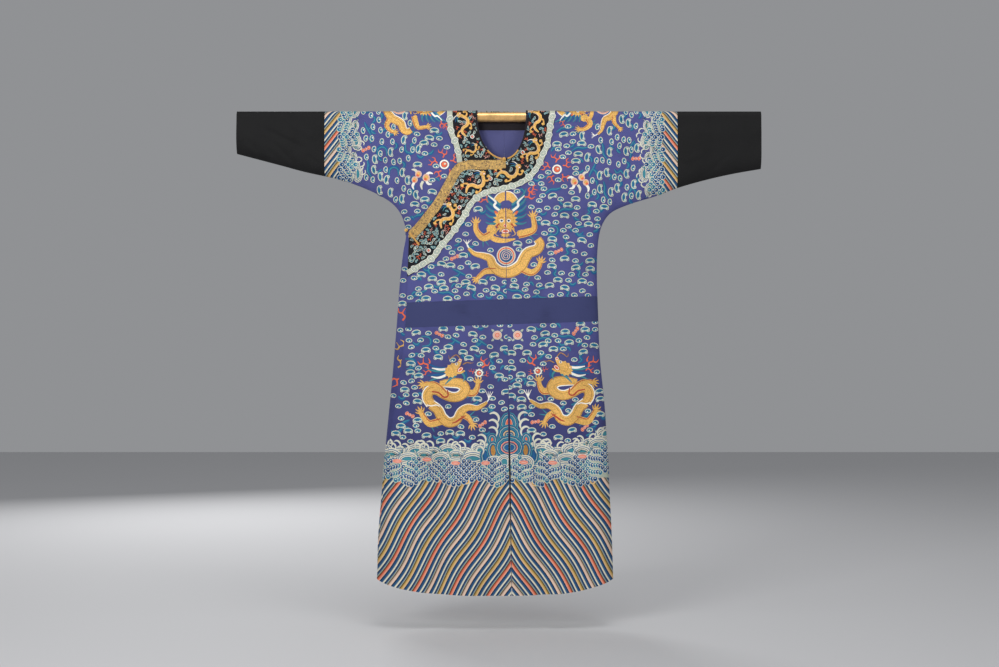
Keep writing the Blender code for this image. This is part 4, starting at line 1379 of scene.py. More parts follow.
class RobeSizes(bpy.types.PropertyGroup):
    """Sizes of the woven pattern."""

    cloud_pitch: bpy.props.FloatProperty(
        name="Cloud pitch",
        description="Distance between cloud clusters",
        unit="LENGTH",
        default=0.074,
        min=0.03,
    )
    stripe_repeat: bpy.props.FloatProperty(
        name="Stripe repeat",
        description="Distance from one wide stripe of the hem to the next",
        unit="LENGTH",
        default=0.0375,
        min=0.01,
    )
    camera_distance: bpy.props.FloatProperty(
        name="Camera distance",
        description="Distance from the camera to the rod's plane",
        unit="LENGTH",
        default=4.78,
        min=1.0,
    )


CUTS = {
    "front_left_bodice": (0.515, 0.575),
    "front_flap_bodice": (0.290, 0.430),
    "front_right_underlap": (0.540, 1.420),
    "back_left_bodice": (0.515, 0.575),
    "back_right_bodice": (0.535, 0.575),
    "front_left_band": (0.300, 0.074),
    "front_flap_band": (0.290, 0.074),
    "back_left_band": (0.300, 0.074),
    "back_right_band": (0.330, 0.074),
    "front_left_skirt": (0.345, 0.790),
    "front_flap_skirt": (0.390, 0.790),
    "back_left_skirt": (0.345, 0.790),
    "back_right_skirt": (0.400, 0.790),
    "sleeve_end_left_front": (0.250, 0.240),
    "sleeve_end_left_back": (0.250, 0.240),
    "sleeve_end_right_front": (0.265, 0.205),
    "sleeve_end_right_back": (0.265, 0.205),
    "yoke_front_over": (0.120, 0.560),
    "yoke_front_under": (0.105, 0.160),
    "yoke_back": (0.320, 0.115),
    "gold_braid": (0.028, 0.400),
    "neck_binding_over": (0.010, 0.160),
    "neck_binding_under": (0.010, 0.160),
    "neck_binding_back": (0.010, 0.180),
    "back_lining_left": (0.112, 0.166),
    "back_lining_right": (0.112, 0.166),
    "back_neck_facing": (0.222, 0.028),
}
PANELS = {}


def bodice_grounds():
    slot_name = "woven_silk"
    for name, side, face, lift in (
        ("front_left_bodice", 1, FRONT, outer_lift),
        ("back_left_bodice", 1, BACK, flat_lift),
        ("back_right_bodice", -1, BACK, flat_lift),
    ):
        cloth_panel(name, bodice_patches(side, face), lift, CLOTH, face, woven_silk(), slot_name)
    under = underlap_patches()
    cloth_panel("front_right_underlap", under, flat_lift, CLOTH, FRONT, woven_silk(), slot_name)
    seams = {"at_left": HOLD_X, "at_bottom": HOLD_Z}
    flap = strip(flap_across, flap_top, above_band, FLAP_ROWS, flap_shares(), **seams)
    cloth_panel("front_flap_bodice", (flap,), flap_lift, CLOTH, FRONT, woven_silk(), slot_name)


def lower_panels(kind):
    """The bands or the skirts, all split at the centre."""
    dyes = bpy.context.scene.robe_dyes
    for name, face, across, shares, lift, seam in (
        ("front_left", FRONT, half_across(1), skirt_shares(), outer_lift, HOLD_Y),
        ("front_flap", FRONT, flap_across, flap_shares(), flap_lift, 0),
        ("back_left", BACK, half_across(1, BACK), skirt_shares(), flat_lift, HOLD_Y),
        ("back_right", BACK, half_across(-1, BACK), skirt_shares(), flat_lift, HOLD_Y),
    ):
        seams = {"at_left": HOLD_X, "at_right": seam, "at_top": HOLD_Z}
        if kind == "band":
            grid = strip(across, band_top, band_low, BAND_ROWS, shares, at_bottom=HOLD_Z, **seams)
            look = plain_cloth("band_silk", dyes.band, 620.0, 1.0, 0.78, 0.0003)
            slot_name = "plain_band"
        else:
            grid = strip(across, below_band, hem, SKIRT_ROWS, shares, **seams)
            look, slot_name = woven_silk(), "woven_silk"
        cloth_panel(f"{name}_{kind}", (grid,), lift, CLOTH, face, look, slot_name)


def black_ends():
    """Plain black silk sleeve ends, folded over the rod and seamed underneath."""
    dyes = bpy.context.scene.robe_dyes
    look = plain_cloth("sleeve_end_silk", dyes.sleeve, 820.0, 0.9, 0.7, 0.0002, 0.15)
    for side, side_name in ((-1, "right"), (1, "left")):
        line = SIDES[side][::-1]
        columns = side * np.linspace(SLEEVE_SEAM + SEAM / 2, line[-1, 0], SLEEVE_COLUMNS + 6)
        low = np.interp(np.abs(columns), line[:, 0], line[:, 1])
        drops = np.array([rows_down(under, 1.0) for under in low]).T
        xs = np.broadcast_to(columns, drops.shape)
        hold = rims(xs.shape, at_left=HOLD_X, at_top=HOLD_Y, at_bottom=HOLD_Y)
        for face, face_name in ((FRONT, "front"), (BACK, "back")):
            name = f"sleeve_end_{side_name}_{face_name}"
            cloth_panel(name, ((xs, drops, hold),), flat_lift, CLOTH, face, look, "black_silk")


def yoke_grounds():
    dyes = bpy.context.scene.robe_dyes
    look = plain_cloth("yoke_silk_ground", dyes.yoke, 700.0, 0.8, 0.75, 0.0003)
    around = NECK_STEPS
    flap = strip(flap_across, flap_top, yoke_low, YOKE_ROWS, flap_shares())
    seam_line = np.column_stack([flap[0][:, 0], flap[1][:, 0]])
    neck = neckline(1, FRONT, around)
    outer_part = YOKE_LINE[YOKE_LINE[:, 0] > seam_line[-1, 0]]
    outer = rolled(spaced(np.vstack([outer_part, seam_line[-1]]), around))
    x, drop, hold = between(neck, outer, YOKE_ROWS, at_left=HOLD_Y)
    x[:, -1], drop[:, -1] = seam_line.T
    lift = over(outer_lift, own=YOKE)
    front = ((x, drop, hold), flap)
    cloth_panel("yoke_front_over", front, lift, YOKE, FRONT, look, "yoke_silk")

    neck = neckline(-1, FRONT, around, stop=UNDER_STOP)
    edge = smooth_line(RIGHT_YOKE_EDGE)
    foot = np.linspace(edge[-1, 0], neck[-1, 0], around // 3 + 1)[1:]
    down = spaced(edge, around - around // 3)
    outer = np.vstack([rolled(down), np.column_stack([foot, flap_top(foot)])])
    outer[:, 1] = np.minimum(outer[:, 1], flap_top(outer[:, 0]) - 2 * GAP)
    grid = between(neck, outer, UNDER_YOKE_ROWS, at_left=HOLD_Y)
    under = over(flat_lift, own=YOKE)
    cloth_panel("yoke_front_under", (grid,), under, YOKE, FRONT, look, "yoke_silk")

    turns = np.linspace(math.pi / 2, 0, BACK_NECK_STEPS)
    halves = []
    for side in (1, -1):
        bow = back_yoke_bow(turns, side)
        halves.append((neckline(side, BACK, BACK_NECK_STEPS), rolled(bow)))
    inner = np.vstack([halves[0][0], halves[1][0][::-1][1:]])
    outer = np.vstack([halves[0][1], halves[1][1][::-1][1:]])
    grid = between(inner, outer, BACK_YOKE_ROWS, at_left=HOLD_Y, at_right=HOLD_Y)
    cloth_panel("yoke_back", (grid,), under, YOKE, BACK, look, "yoke_silk")


def trim():
    """The gold braid along the flap and the dark binding round the neck."""
    dyes = bpy.context.scene.robe_dyes

    def across(drop, share):
        return BRAID_START + (flap_side(drop) - BRAID_START) * share

    grid = strip(across, flap_top, braid_low, BRAID_ROWS, flap_shares())
    lift = over(outer_lift, YOKE, own=TRIM)
    cloth_panel("gold_braid", (grid,), lift, TRIM, FRONT, braid_look(), "gold_braid")

    look = plain_cloth("binding_silk", dyes.binding, 800.0, 0.6, 0.6, 0.0002)
    for name, side, stop, base in (
        ("neck_binding_over", 1, OVER_STOP, outer_lift),
        ("neck_binding_under", -1, UNDER_STOP, flat_lift),
    ):
        line = neckline(side, FRONT, NECK_STEPS, stop)
        grid = between(line, nudged(line, -side * BINDING_WIDTH), BINDING_ROWS, at_left=HOLD_Y)
        lift = over(base, YOKE, own=TRIM)
        cloth_panel(name, (grid,), lift, TRIM, FRONT, look, "dark_binding")
    line = np.vstack([neckline(1, BACK, 24), neckline(-1, BACK, 24)[::-1][1:]])
    grid = between(line, nudged(line, -BINDING_WIDTH), BINDING_ROWS, at_left=HOLD_Y, at_right=HOLD_Y)
    lift = over(flat_lift, YOKE, own=TRIM)
    cloth_panel("neck_binding_back", (grid,), lift, TRIM, BACK, look, "dark_binding")


def inside_lift(x, drop):
    return -CLOTH - GAP + flat_lift(x, drop)


def linings():
    dyes = bpy.context.scene.robe_dyes
    look = plain_cloth("lining_silk", dyes.lining, 900.0, 1.0, 0.45, 0.0002, 0.4)
    for side, side_name in ((1, "left"), (-1, "right")):
        grid = strip(
            lambda drop, share: centre_edge(side)(drop) + side * LINING_HALF * share,
            level(FACING_BOTTOM + SEAM),
            level(LINING_BOTTOM),
            LINING_ROWS,
            np.linspace(0, 1, 24),
            at_left=HOLD_X,
            at_top=HOLD_Z,
        )
        name = "back_lining_" + side_name
        cloth_panel(name, (grid,), inside_lift, LINING, BACK, look, "blue_lining")
    facing = strip(
        lambda drop, share: seam_x(drop) + LINING_HALF * share,
        level(LINING_TOP),
        level(FACING_BOTTOM),
        FACING_ROWS,
        np.linspace(-1, 1, 44),
        at_bottom=HOLD_Z,
    )
    look = plain_cloth("facing_silk", dyes.binding, 800.0, 0.9, 0.6, 0.0002)
    cloth_panel("back_neck_facing", (facing,), inside_lift, LINING, BACK, look, "dark_binding")


def cord_mesh(name, lines, radius, look):
    """Round threads of one radius along lines of points, as a mesh."""
    curve = bpy.data.curves.new(name, "CURVE")
    curve.dimensions = "3D"
    curve.bevel_depth = radius
    curve.bevel_resolution = 2
    curve.use_fill_caps = True
    for line, closed in lines:
        spline = curve.splines.new("POLY")
        spline.points.add(len(line) - 1)
        for point, at in zip(spline.points, line):
            point.co = (*at, 1)
        spline.use_cyclic_u = closed
    drawn = bpy.data.objects.new(name, curve)
    mesh = bpy.data.meshes.new_from_object(drawn)
    bpy.data.objects.remove(drawn)
    mesh.name = name
    mesh.materials.clear()
    mesh.materials.append(look)
    mesh.shade_smooth()
    return bpy.data.objects.new(name, mesh)


def twisted(line, strands, radius, pitch):
    """Strands wound round a line of points."""
    along = np.concatenate([[0], np.cumsum(np.linalg.norm(np.diff(line, axis=0), axis=1))])
    run = np.gradient(line, axis=0)
    run /= np.linalg.norm(run, axis=1)[:, None]
    side = np.cross(run, (0.0, 1.0, 0.0))
    side /= np.linalg.norm(side, axis=1)[:, None]
    up = np.cross(side, run)
    wound = []
    for strand in range(strands):
        turn = 2 * math.pi * (along / pitch + strand / strands)
        offset = radius * (np.cos(turn)[:, None] * side + np.sin(turn)[:, None] * up)
        wound.append((line + offset, False))
    return wound


def button_knot(centre, radius):
    """A ball knot: one cord that winds over and under itself round a sphere."""
    t = np.linspace(0, 2 * math.pi, 181)[:-1]
    high = 0.86 * np.sin(4 * t)
    out = np.sqrt(1 - high**2) * (1 + 0.07 * np.cos(12 * t))
    ball = np.column_stack([out * np.cos(3 * t), out * np.sin(3 * t), high])
    return [(np.array(centre) + radius * ball, True)]


def fastenings():
    """The cord loops and knotted buttons at the throat and under the arm."""
    dyes = bpy.context.scene.robe_dyes
    look = plain_cloth("gold_cord_thread", dyes.gold, 1500.0, 0.5, 0.42, 0.0002, 0.5)
    braid_face = over(flap_lift, YOKE, own=TRIM)
    middle = (0.0, BINDING_WIDTH / 2)
    rest = CORD_RADIUS + GAP
    left = neck_places(1, FRONT, np.radians(np.linspace(7, 38, CORD_STEPS))) + middle + (0.0015, 0)
    right = neck_places(-1, FRONT, np.radians(np.linspace(5, 38, CORD_STEPS))) + middle - (0.0010, 0)
    on_left, on_right = over(outer_lift, YOKE, own=TRIM), over(flat_lift, YOKE, own=TRIM)

    def climbing(x, drop):
        return on_right(x, drop) + LAP * ease((x - CORD_CLIMB_FROM) / CORD_CLIMB_OVER)

    def on_braid(x, drop):
        return braid_face(x, drop) + GAP

    for name, line, lift in (
        ("throat_cord_left", left, on_left),
        ("throat_cord_right", right, climbing),
        ("side_cord", spaced(SIDE_LOOP, CORD_STEPS), on_braid),
    ):
        wound = []
        for side in (-1, 1):
            row = nudged(line, side * CORD_RADIUS * 1.05)
            spots = cloth(row[:, 0], row[:, 1], lift(row[:, 0], row[:, 1]) + rest, FRONT)
            wound += twisted(spots, 2, CORD_RADIUS * 0.48, 0.0052)
        made = cord_mesh(name + "_twist", wound, CORD_RADIUS * 0.58, look)
        finished(made, "gold_cord", (name,))
    for name, place, lift in (
        ("throat_knot", THROAT_KNOT, LAP + YOKE + TRIM + 3 * GAP),
        ("side_knot", SIDE_KNOT, GAP),
    ):
        centre = cloth(*place, lift + KNOT_RADIUS, FRONT)
        wound = button_knot(centre, KNOT_RADIUS * 0.74)
        made = cord_mesh(name + "_ball", wound, KNOT_RADIUS * 0.27, look)
        finished(made, "gold_cord", (name,))


def ground_outlines():
    """Closed outlines of the woven grounds that clouds may fill, by panel."""
    fold = FOLD_TOP

    def under_sleeve(side, low, high):
        line = SIDES[side]
        return line[(line[:, 0] < high) & (line[:, 1] <= low)] * (side, 1)

    def seam(side, top, low):
        drops = np.linspace(top, low, 30)
        return np.column_stack([seam_x(drops) - side * CUT_PAST, drops])

    def band_at(line, x0, x1):
        xs = np.linspace(x0, x1, 12)
        return np.column_stack([xs, line(xs) + CUT_PAST * (1 if line is above_band else -1)])

    def body_side(side, top, low):
        line = SIDES[side]
        return line[(line[:, 1] > top) & (line[:, 1] < low)] * (side, 1)

    reach = SLEEVE_SEA[0]
    yoke = YOKE_LINE[YOKE_LINE[:, 0] > seam_x(0.2)]
    yoke_flap = YOKE_LINE[YOKE_LINE[:, 0] <= seam_x(0.2)]
    flap_down = FLAP_SIDE_LINE[(FLAP_SIDE_LINE[:, 1] > 0.459) & (FLAP_SIDE_LINE[:, 1] < 0.53)]
    flap_edge = FLAP_SIDE_LINE[FLAP_SIDE_LINE[:, 1] < SEA_TOP]
    turns = np.linspace(0, math.pi / 2, 16)
    outlines = {
        "front_left_bodice": np.vstack(
            [
                seam(1, 0.212, 0.523),
                band_at(above_band, 0.02, 0.27),
                body_side(1, 0.36, 0.513)[::-1],
                under_sleeve(1, 0.36, reach)[::-1],
                [(reach, fold), (YOKE_AT_SHOULDER, fold)],
                yoke,
            ]
        ),
        "front_flap_bodice": np.vstack(
            [yoke_flap, flap_down, band_at(above_band, -0.262, 0.012), seam(-1, 0.212, 0.523)[::-1]]
        ),
        "front_right_underlap": np.vstack(
            [
                [(-YOKE_AT_SHOULDER, fold)],
                smooth_line(RIGHT_YOKE_EDGE),
                FLAP_TOP_LINE[FLAP_TOP_LINE[:, 0] < -0.1211],
                flap_edge,
                body_side(-1, 0.34, SEA_TOP)[::-1],
                under_sleeve(-1, 0.34, reach)[::-1],
                [(-reach, fold)],
            ]
        ),
    }
    for name, side in (("front_left_skirt", 1), ("back_left_skirt", 1), ("back_right_skirt", -1)):
        outlines[name] = np.vstack(
            [
                seam(side, 0.60, SEA_TOP),
                body_side(side, 0.61, SEA_TOP)[::-1],
                band_at(below_band, side * 0.28, side * 0.02),
            ]
        )
    outlines["front_flap_skirt"] = np.vstack(
        [
            seam(-1, 0.60, SEA_TOP),
            FLAP_SIDE_LINE[(FLAP_SIDE_LINE[:, 1] > 0.61) & (FLAP_SIDE_LINE[:, 1] < SEA_TOP)][::-1],
            band_at(below_band, -0.27, 0.0),
        ]
    )
    for name, side in (("back_left_bodice", 1), ("back_right_bodice", -1)):
        outlines[name] = np.vstack(
            [
                seam(side, BACK_YOKE_DEPTH, 0.523),
                band_at(above_band, side * 0.02, side * 0.27),
                body_side(side, ARMPITS[side], 0.52)[::-1],
                under_sleeve(side, ARMPITS[side], reach)[::-1],
                [(side * reach, fold), (side * YOKE_AT_SHOULDER, fold)],
                back_yoke_bow(turns, side)[::-1],
            ]
        )
    return outlines


CUT_PAST = 0.009
PATTERNS = {
    "front_left_bodice": (FRONT, outer_lift, 11),
    "front_flap_bodice": (FRONT, flap_lift, 12),
    "front_right_underlap": (FRONT, flat_lift, 13),
    "front_left_skirt": (FRONT, outer_lift, 14),
    "front_flap_skirt": (FRONT, flap_lift, 15),
    "back_left_bodice": (BACK, flat_lift, 16),
    "back_right_bodice": (BACK, flat_lift, 17),
    "back_left_skirt": (BACK, flat_lift, 18),
    "back_right_skirt": (BACK, flat_lift, 19),
}


def spiked(made, x, y, wide, high, spikes, depth, dye, layer=0, turn=0.0):
    """A tuft: an oval whose rim runs in and out."""
    ring = bmesh.ops.create_circle(made.bm, cap_ends=True, segments=2 * spikes, radius=1)["verts"]
    c, s = math.cos(turn), math.sin(turn)
    for order, vert in enumerate(ring):
        reach = 1 - depth * (order % 2)
        px, py = vert.co.x * wide * reach, vert.co.y * high * reach
        vert.co = (x + c * px - s * py, y + s * px + c * py, layer)
    made.paint([ring[0].link_faces[0]], dye)


def strands(made, dyes, half, layer, *lines):
    """Tapering strokes of hair, horn or whisker, whose dyes take turns."""
    for order, line in enumerate(lines):
        made.ribbon(line, (half, half, half * 0.35), dyes[order % len(dyes)], layer, step=4)


def dragon_body(made, path, half, spine, layer=2):
    """A long scaled body: gold with a white spine on one edge and a darker belly."""
    made.ribbon(path, half, "gold", layer, rows=5)
    for dye, share, side in (("white", 0.10, spine * 9.6), ("amber", 0.08, -spine * 11)):
        made.ribbon(path, np.array(half) * share, dye, layer + 1, shift=side)
    made.ribbon(path, np.array(half) * 0.05, "amber", layer + 1, shift=spine * 8)


def leg(made, line, half, layer=3, reach=15.0, hair=(0, 0)):
    """A leg with five spread claws, and a tuft of hair behind its joint."""
    widths = np.array((1.0, 1.0, 0.72, 0.6)) * half
    made.ribbon(line, widths, "gold", layer, rows=3)
    made.ribbon(line, widths * 0.12, "red", layer + 1, shift=-5.5)
    (x0, y0), (x, y) = line[-2:]
    heading = math.atan2(y - y0, x - x0)
    for spread in (-1.7, -0.85, 0.0, 0.85, 1.7):
        bend = heading + spread * 1.1
        middle = (x + reach * 0.55 * math.cos(bend), y + reach * 0.55 * math.sin(bend))
        aim = heading + spread * 0.75
        tip = (x + reach * math.cos(aim), y + reach * math.sin(aim))
        made.ribbon(((x, y), middle, tip), (2.6, 2.2, 0.7), "gold", layer + 2, step=4)
    if any(hair):
        bx, by = line[1]
        for lean in (-0.35, 0.25):
            c, s = math.cos(lean), math.sin(lean)
            end = (bx + c * hair[0] - s * hair[1], by + s * hair[0] + c * hair[1])
            strands(made, ("teal", "blue"), 1.7, layer - 2, ((bx, by), end))


FLAME = (
    ((0, 0), (6, 9), (0, 18), (7, 30)),
    ((6, 9), (15, 11), (17, 22)),
    ((0, 18), (-9, 20), (-10, 30)),
)


def flame(made, x, y, turn, size=1.0, dye="coral"):
    """A branching tongue of fire."""
    c, s = math.cos(turn) * size, math.sin(turn) * size
    for line in FLAME:
        spots = [(x + c * a - s * b, y + s * a + c * b) for a, b in line]
        made.ribbon(spots, (2.1 * size, 1.8 * size, 0.6 * size), dye, 2, step=4)


def pearl(made, x, y, size=1.0, layer=3):
    """A burning pearl: a white ring round a red comma."""
    made.disc(x, y, 12 * size, 12 * size, ("white", 3.6 * size), ("navy", 1.2), "coral", layer=layer)
    made.disc(x + 2, y + 1.5, 3 * size, 2.4 * size, "cream", layer=layer + 1, segments=8)


def front_dragon():
    """The facing dragon: head and arms above its disc, body and tail round it."""
    made = Motif()
    body = ((89, 48), (97, 33), (86, 17), (64, 9), (52, -8), (42, -27), (21, -42), (0, -47))
    body += ((-20, -43), (-37, -28), (-46, -8), (-66, 0), (-90, 6), (-107, 21))
    tail = [((-103, 18), (-111, 32), (x, 46)) for x in (-122, -114, -105, -98)]
    strands(made, ("white",), 1.6, 1, *tail)
    leg(made, ((-30, -42), (-58, -44), (-74, -56), (-86, -68)), 9, hair=(16, 16), reach=12)
    leg(made, ((46, -38), (72, -48), (92, -34), (99, -14)), 10, hair=(-16, -18))
    dragon_body(made, body, (12, 15, 17, 17, 17, 15, 12, 8, 4), -1)
    rings = (("cream", 3.0), ("coral", 3.6), ("cream", 2.2), ("navy", 1.0))
    made.disc(0, 0, 27, 27, *rings, "blue", layer=4, segments=28)
    turns = np.linspace(0, 5 * math.pi, 30)
    reach = 15.5 * (1 - turns / turns[-1] * 0.85)
    coil = np.column_stack([reach * np.cos(turns), reach * np.sin(turns)])
    made.ribbon(coil, (1.1, 1.1), "beige", 5, step=3)
    made.ribbon(((-46, 66), (-38, 50), (-8, 43), (26, 48)), (6, 8, 6, 2), "gold", 1, rows=2)
    spiked(made, -42, 74, 15, 17, 9, 0.12, "gold", 2)
    spiked(made, 44, 64, 15, 11, 9, 0.14, "gold", 2)
    leg(made, ((-42, 62), (-66, 52), (-85, 74), (-86, 98)), 11, hair=(10, -26))
    leg(made, ((34, 60), (58, 66), (80, 78), (76, 116)), 11, hair=(30, -14))
    loop = ((-30, 150), (-14, 168), (10, 170), (25, 154))
    made.ribbon(loop, (9, 13, 13, 8), "gold", 1, rows=3)
    made.ribbon(loop, (1.1, 1.3, 1.3, 1.1), "white", 2, shift=9.5)
    for side in (-1, 1):
        locks = [
            ((side * 16, 104 + rise), (side * 44, 104 + rise * 1.6), (side * 58, 112 + rise * 2))
            for rise in range(-8, 41, 6)
        ]
        strands(made, ("teal", "blue"), 3.2, 2, *locks)
        horn = ((side * 18, 128), (side * 34, 142), (side * 32 + 2, 154), (side * 52, 172))
        strands(made, ("white",), 3.4, 4, horn)
        strands(made, ("coral",), 2.4, 4, ((side * 22, 118), (side * 33, 128), (side * 27, 116)))
    flame(made, 52, 168, -0.9, 1.1)
    flame(made, 62, 186, -1.3, 0.9)
    flame(made, -52, 152, 1.1, 0.9)
    spiked(made, -2, 100, 36, 38, 19, 0.26, "gold", 5)
    made.disc(-2, 104, 23, 28, ("amber", 1.2), "gold", layer=6, segments=18)
    for x, y in ((-14, 126), (-2, 131), (10, 126)):
        made.disc(x, y, 7, 6, ("amber", 1.0), "gold", layer=7, segments=9)
    for side in (-1, 1):
        eye = (("white", 1.7), ("blue", 1.2), "ink")
        made.disc(-3 + side * 10, 100, 5.6, 4.8, *eye, layer=8, segments=10)
        cheek = [(-3 + side * x, y) for x, y in ((16, 92), (24, 84), (17, 78))]
        strands(made, ("red",), 2.0, 7, cheek)
        brow = [(-3 + side * x, y) for x, y in ((4, 108), (10, 110), (18, 106))]
        made.ribbon(brow, (1.2, 1.6, 0.8), "amber", 8, step=3)
        whisker = [(-2 + side * x, y) for x, y in ((4, 84), (20, 76), (28, 62), (18, 56))]
        strands(made, ("gold",), 1.6, 9, whisker)
    made.disc(-3, 86, 4.6, 5.0, ("white", 1.0), "coral", layer=9, segments=9)
    made.disc(-2, 70, 13, 7.5, ("red", 1.6), ("white", 2.2), "coral", layer=9)
    spiked(made, -2, 60, 16, 9, 9, 0.4, "gold", 6)
    return made


def side_dragon():
    """The striding dragon of the skirts, reaching for its pearl."""
    made = Motif()
    body = ((-27, 19), (0, 22), (31, 20), (45, 4), (31, -14), (8, -18), (-16, -9), (-37, 3), (-56, 0))
    body += ((-63, -19), (-52, -39), (-33, -54), (-21, -76), (-1, -90), (21, -83), (33, -59), (53, -47))
    body += ((78, -49), (94, -41), (107, -32))
    tail = [((104, -34), (112, -24), (x, -2)) for x in (103, 110, 117, 124)]
    strands(made, ("white",), 1.5, 1, *tail)
    leg(made, ((-24, -86), (-56, -93), (-72, -76), (-82, -58)), 11, hair=(20, -18))
    leg(made, ((36, -66), (52, -76), (60, -86), (66, -98)), 9, hair=(26, 14))
    leg(made, ((50, -6), (70, -6), (80, 12), (81, 27)), 10, 1, hair=(-14, -22))
    dragon_body(made, body[:11], (9, 13, 15, 15, 14, 14, 15, 15, 14), -1, 3)
    dragon_body(made, body[10:], (14, 15, 15, 14, 12, 10, 7, 4), 1, 3)
    made.ribbon(((-64, -40), (-52, -43), (-38, -40), (-28, -44)), (1.4, 1.6, 1.4), "white", 5)
    leg(made, ((-14, -8), (-36, 14), (-56, 21), (-76, 17)), 10, 6)
    mouth = ((-50, -2), (-30, -6), (-16, -18), (-4, -14), (-6, 2))
    made.ribbon(mouth, (1.6, 2.2, 1.6), "red", 8, step=4)
    made.ribbon(((8, -92), (20, -88), (34, -78), (46, -70)), (1.2, 2.6, 1.2), "red", 6, step=4)
    locks = [((-12, 44 + y), (-38, 40 + y * 1.3), (-62, 34 + y * 2.2)) for y in (-4, 4, 12, 20)]
    strands(made, ("teal", "blue"), 3.2, 6, *locks)
    beard = (
        ((34, 52), (43, 40), (40, 26)),
        ((44, 58), (49, 42), (47, 28)),
        ((18, 42), (4, 34), (-12, 18)),
    )
    strands(made, ("teal", "blue"), 3.0, 7, *beard)
    horns = (((-6, 62), (-26, 60), (-50, 64)), ((-6, 46), (-30, 37), (-52, 40)))
    strands(made, ("white",), 3.4, 7, *horns)
    spiked(made, 8, 58, 26, 20, 12, 0.2, "gold", 8, 0.7)
    made.disc(13, 64, 17, 13, ("amber", 1.1), "gold", layer=9, turn=0.8)
    made.ribbon(((14, 62), (26, 76), (32, 90)), (8, 6.5, 4), "gold", 10, rows=2, step=4)
    made.disc(31, 60, 10, 7, ("red", 1.8), ("white", 1.8), "coral", layer=11, turn=0.7)
    made.ribbon(((20, 50), (32, 51), (44, 57)), (3, 3, 2), "gold", 12, step=4)
    made.disc(30, 86, 4, 5, ("white", 1.4), "coral", layer=12, segments=9, turn=0.4)
    made.disc(20, 76, 4.4, 3.8, ("white", 1.6), "ink", layer=12, segments=9)
    whiskers = (
        ((30, 92), (20, 102), (8, 96), (0, 90), (-2, 100)),
        ((38, 74), (50, 80), (60, 78), (68, 80)),
    )
    strands(made, ("amber",), 1.3, 10, *whiskers)
    for x, y, turn, size in (
        (-62, 62, 0.6, 1.1),
        (-52, 52, 1.5, 0.8),
        (92, 66, -0.3, 1.0),
        (66, 48, 0.5, 0.5),
        (98, 44, -1.0, 0.5),
    ):
        flame(made, x, y, turn, size)
    spiked(made, 84, 50, 15, 15, 9, 0.3, "sage", 3)
    pearl(made, 84, 50, 0.9, 4)
    return made


def small_dragon():
    """A little dragon for the yoke."""
    made = Motif()
    body = ((-44, -6), (-30, 8), (-14, 6), (-4, -8), (12, -12), (24, -2), (30, 12))
    leg(made, ((-22, 8), (-26, 18), (-36, 24), (-42, 22)), 3.2, reach=6)
    leg(made, ((2, -10), (2, -20), (-8, -24), (-14, -22)), 3.2, reach=6)
    leg(made, ((24, -2), (34, -8), (42, -6), (44, 2)), 3.2, reach=6)
    made.ribbon(body, (1.6, 4, 5.2, 5.6, 5.6, 5, 4), "gold", 4, rows=2)
    made.ribbon(body, (0.4, 0.6, 0.7, 0.7, 0.7), "beige", 5, shift=8)
    strands(made, ("teal", "blue"), 1.5, 3, ((28, 20), (16, 26), (4, 24)), ((28, 24), (18, 32), (6, 33)))
    spiked(made, 33, 20, 11, 10, 8, 0.25, "gold", 5)
    made.disc(36, 17, 4.2, 3.2, ("red", 1.0), "white", layer=6, segments=8)
    made.disc(31, 24, 2.2, 2.0, ("white", 0.8), "ink", layer=6, segments=7)
    strands(made, ("white",), 1.3, 6, ((30, 28), (24, 36), (14, 40)))
    for x, y, turn in ((-12, 20, 0.4), (44, 28, -0.5), (-40, 12, 1.2)):
        flame(made, x, y, turn, 0.42)
    return made


def bat():
    made = Motif()
    for x, y, wide in ((-8, 4, 6), (8, -4, 6), (0, 0, 5)):
        made.disc(x, y, wide, wide * 0.85, ("pink", 1.3), "coral", layer=2, turn=0.6, segments=10)
        made.disc(x + 1, y, 1.7, 1.5, "cream", layer=3, segments=6)
    return made


def peaches():
    made = Motif()
    strands(made, ("teal",), 1.4, 1, ((-20, -14), (-4, 0), (18, 12)))
    leaves = (
        ((-14, -4), (-20, -12), (-30, -12)),
        ((-4, -6), (0, -18), (-4, -30)),
        ((20, -10), (24, -22), (20, -32)),
        ((14, 16), (22, 24), (32, 24)),
        ((-12, 14), (-20, 20), (-30, 18)),
    )
    strands(made, ("white", "cream"), 3.8, 2, *leaves)
    for x, y, size in ((-12, 5, 1.0), (11, 13, 0.9), (20, -4, 0.85)):
        made.disc(x, y, 10.5 * size, 11.5 * size, ("beige", 2.2), ("pink", 2.0), "gold", layer=3)
        made.disc(x + 2, y - 4.5 * size, 4.2, 3.6, "coral", layer=4, segments=8)
    return made


def rosette():
    made = Motif()
    rings = (("cream", 1.8), ("pink", 2.8), ("cream", 1.4), ("coral", 2.2))
    made.disc(0, 0, 13, 13, *rings, "pink", layer=3, segments=16)
    leaves = [
        ((x, y), (x * 1.3, y * 1.3), (x * 1.6, y * 1.5))
        for x, y in ((-10, 11), (10, 11), (-10, -11), (10, -11))
    ]
    strands(made, ("sage",), 3.0, 1, *leaves)
    return made


def flaming_pearl():
    made = Motif()
    pearl(made, 0, 0, 1.15)
    for turn in (0.2, 1.4, 2.7, 4.0, 5.3):
        flame(made, -20 * math.sin(turn), 20 * math.cos(turn), turn, 0.85)
    return made


def curl(made, x, y, size=1.0, flip=1, layer=7):
    """A curl of spray."""
    line = np.array(((0, -14), (3, -4), (-1, 5), (-9, 9), (-17, 6))) * (-flip * size, size) + (x, y)
    made.ribbon(line, np.array((1.5, 3.2, 3.8, 3.6, 1.8)) * size, "blue", layer, step=4)
    made.ribbon(line, np.array((0.8, 2.2, 2.8, 2.6, 1.2)) * size, "cream", layer + 1, step=4)


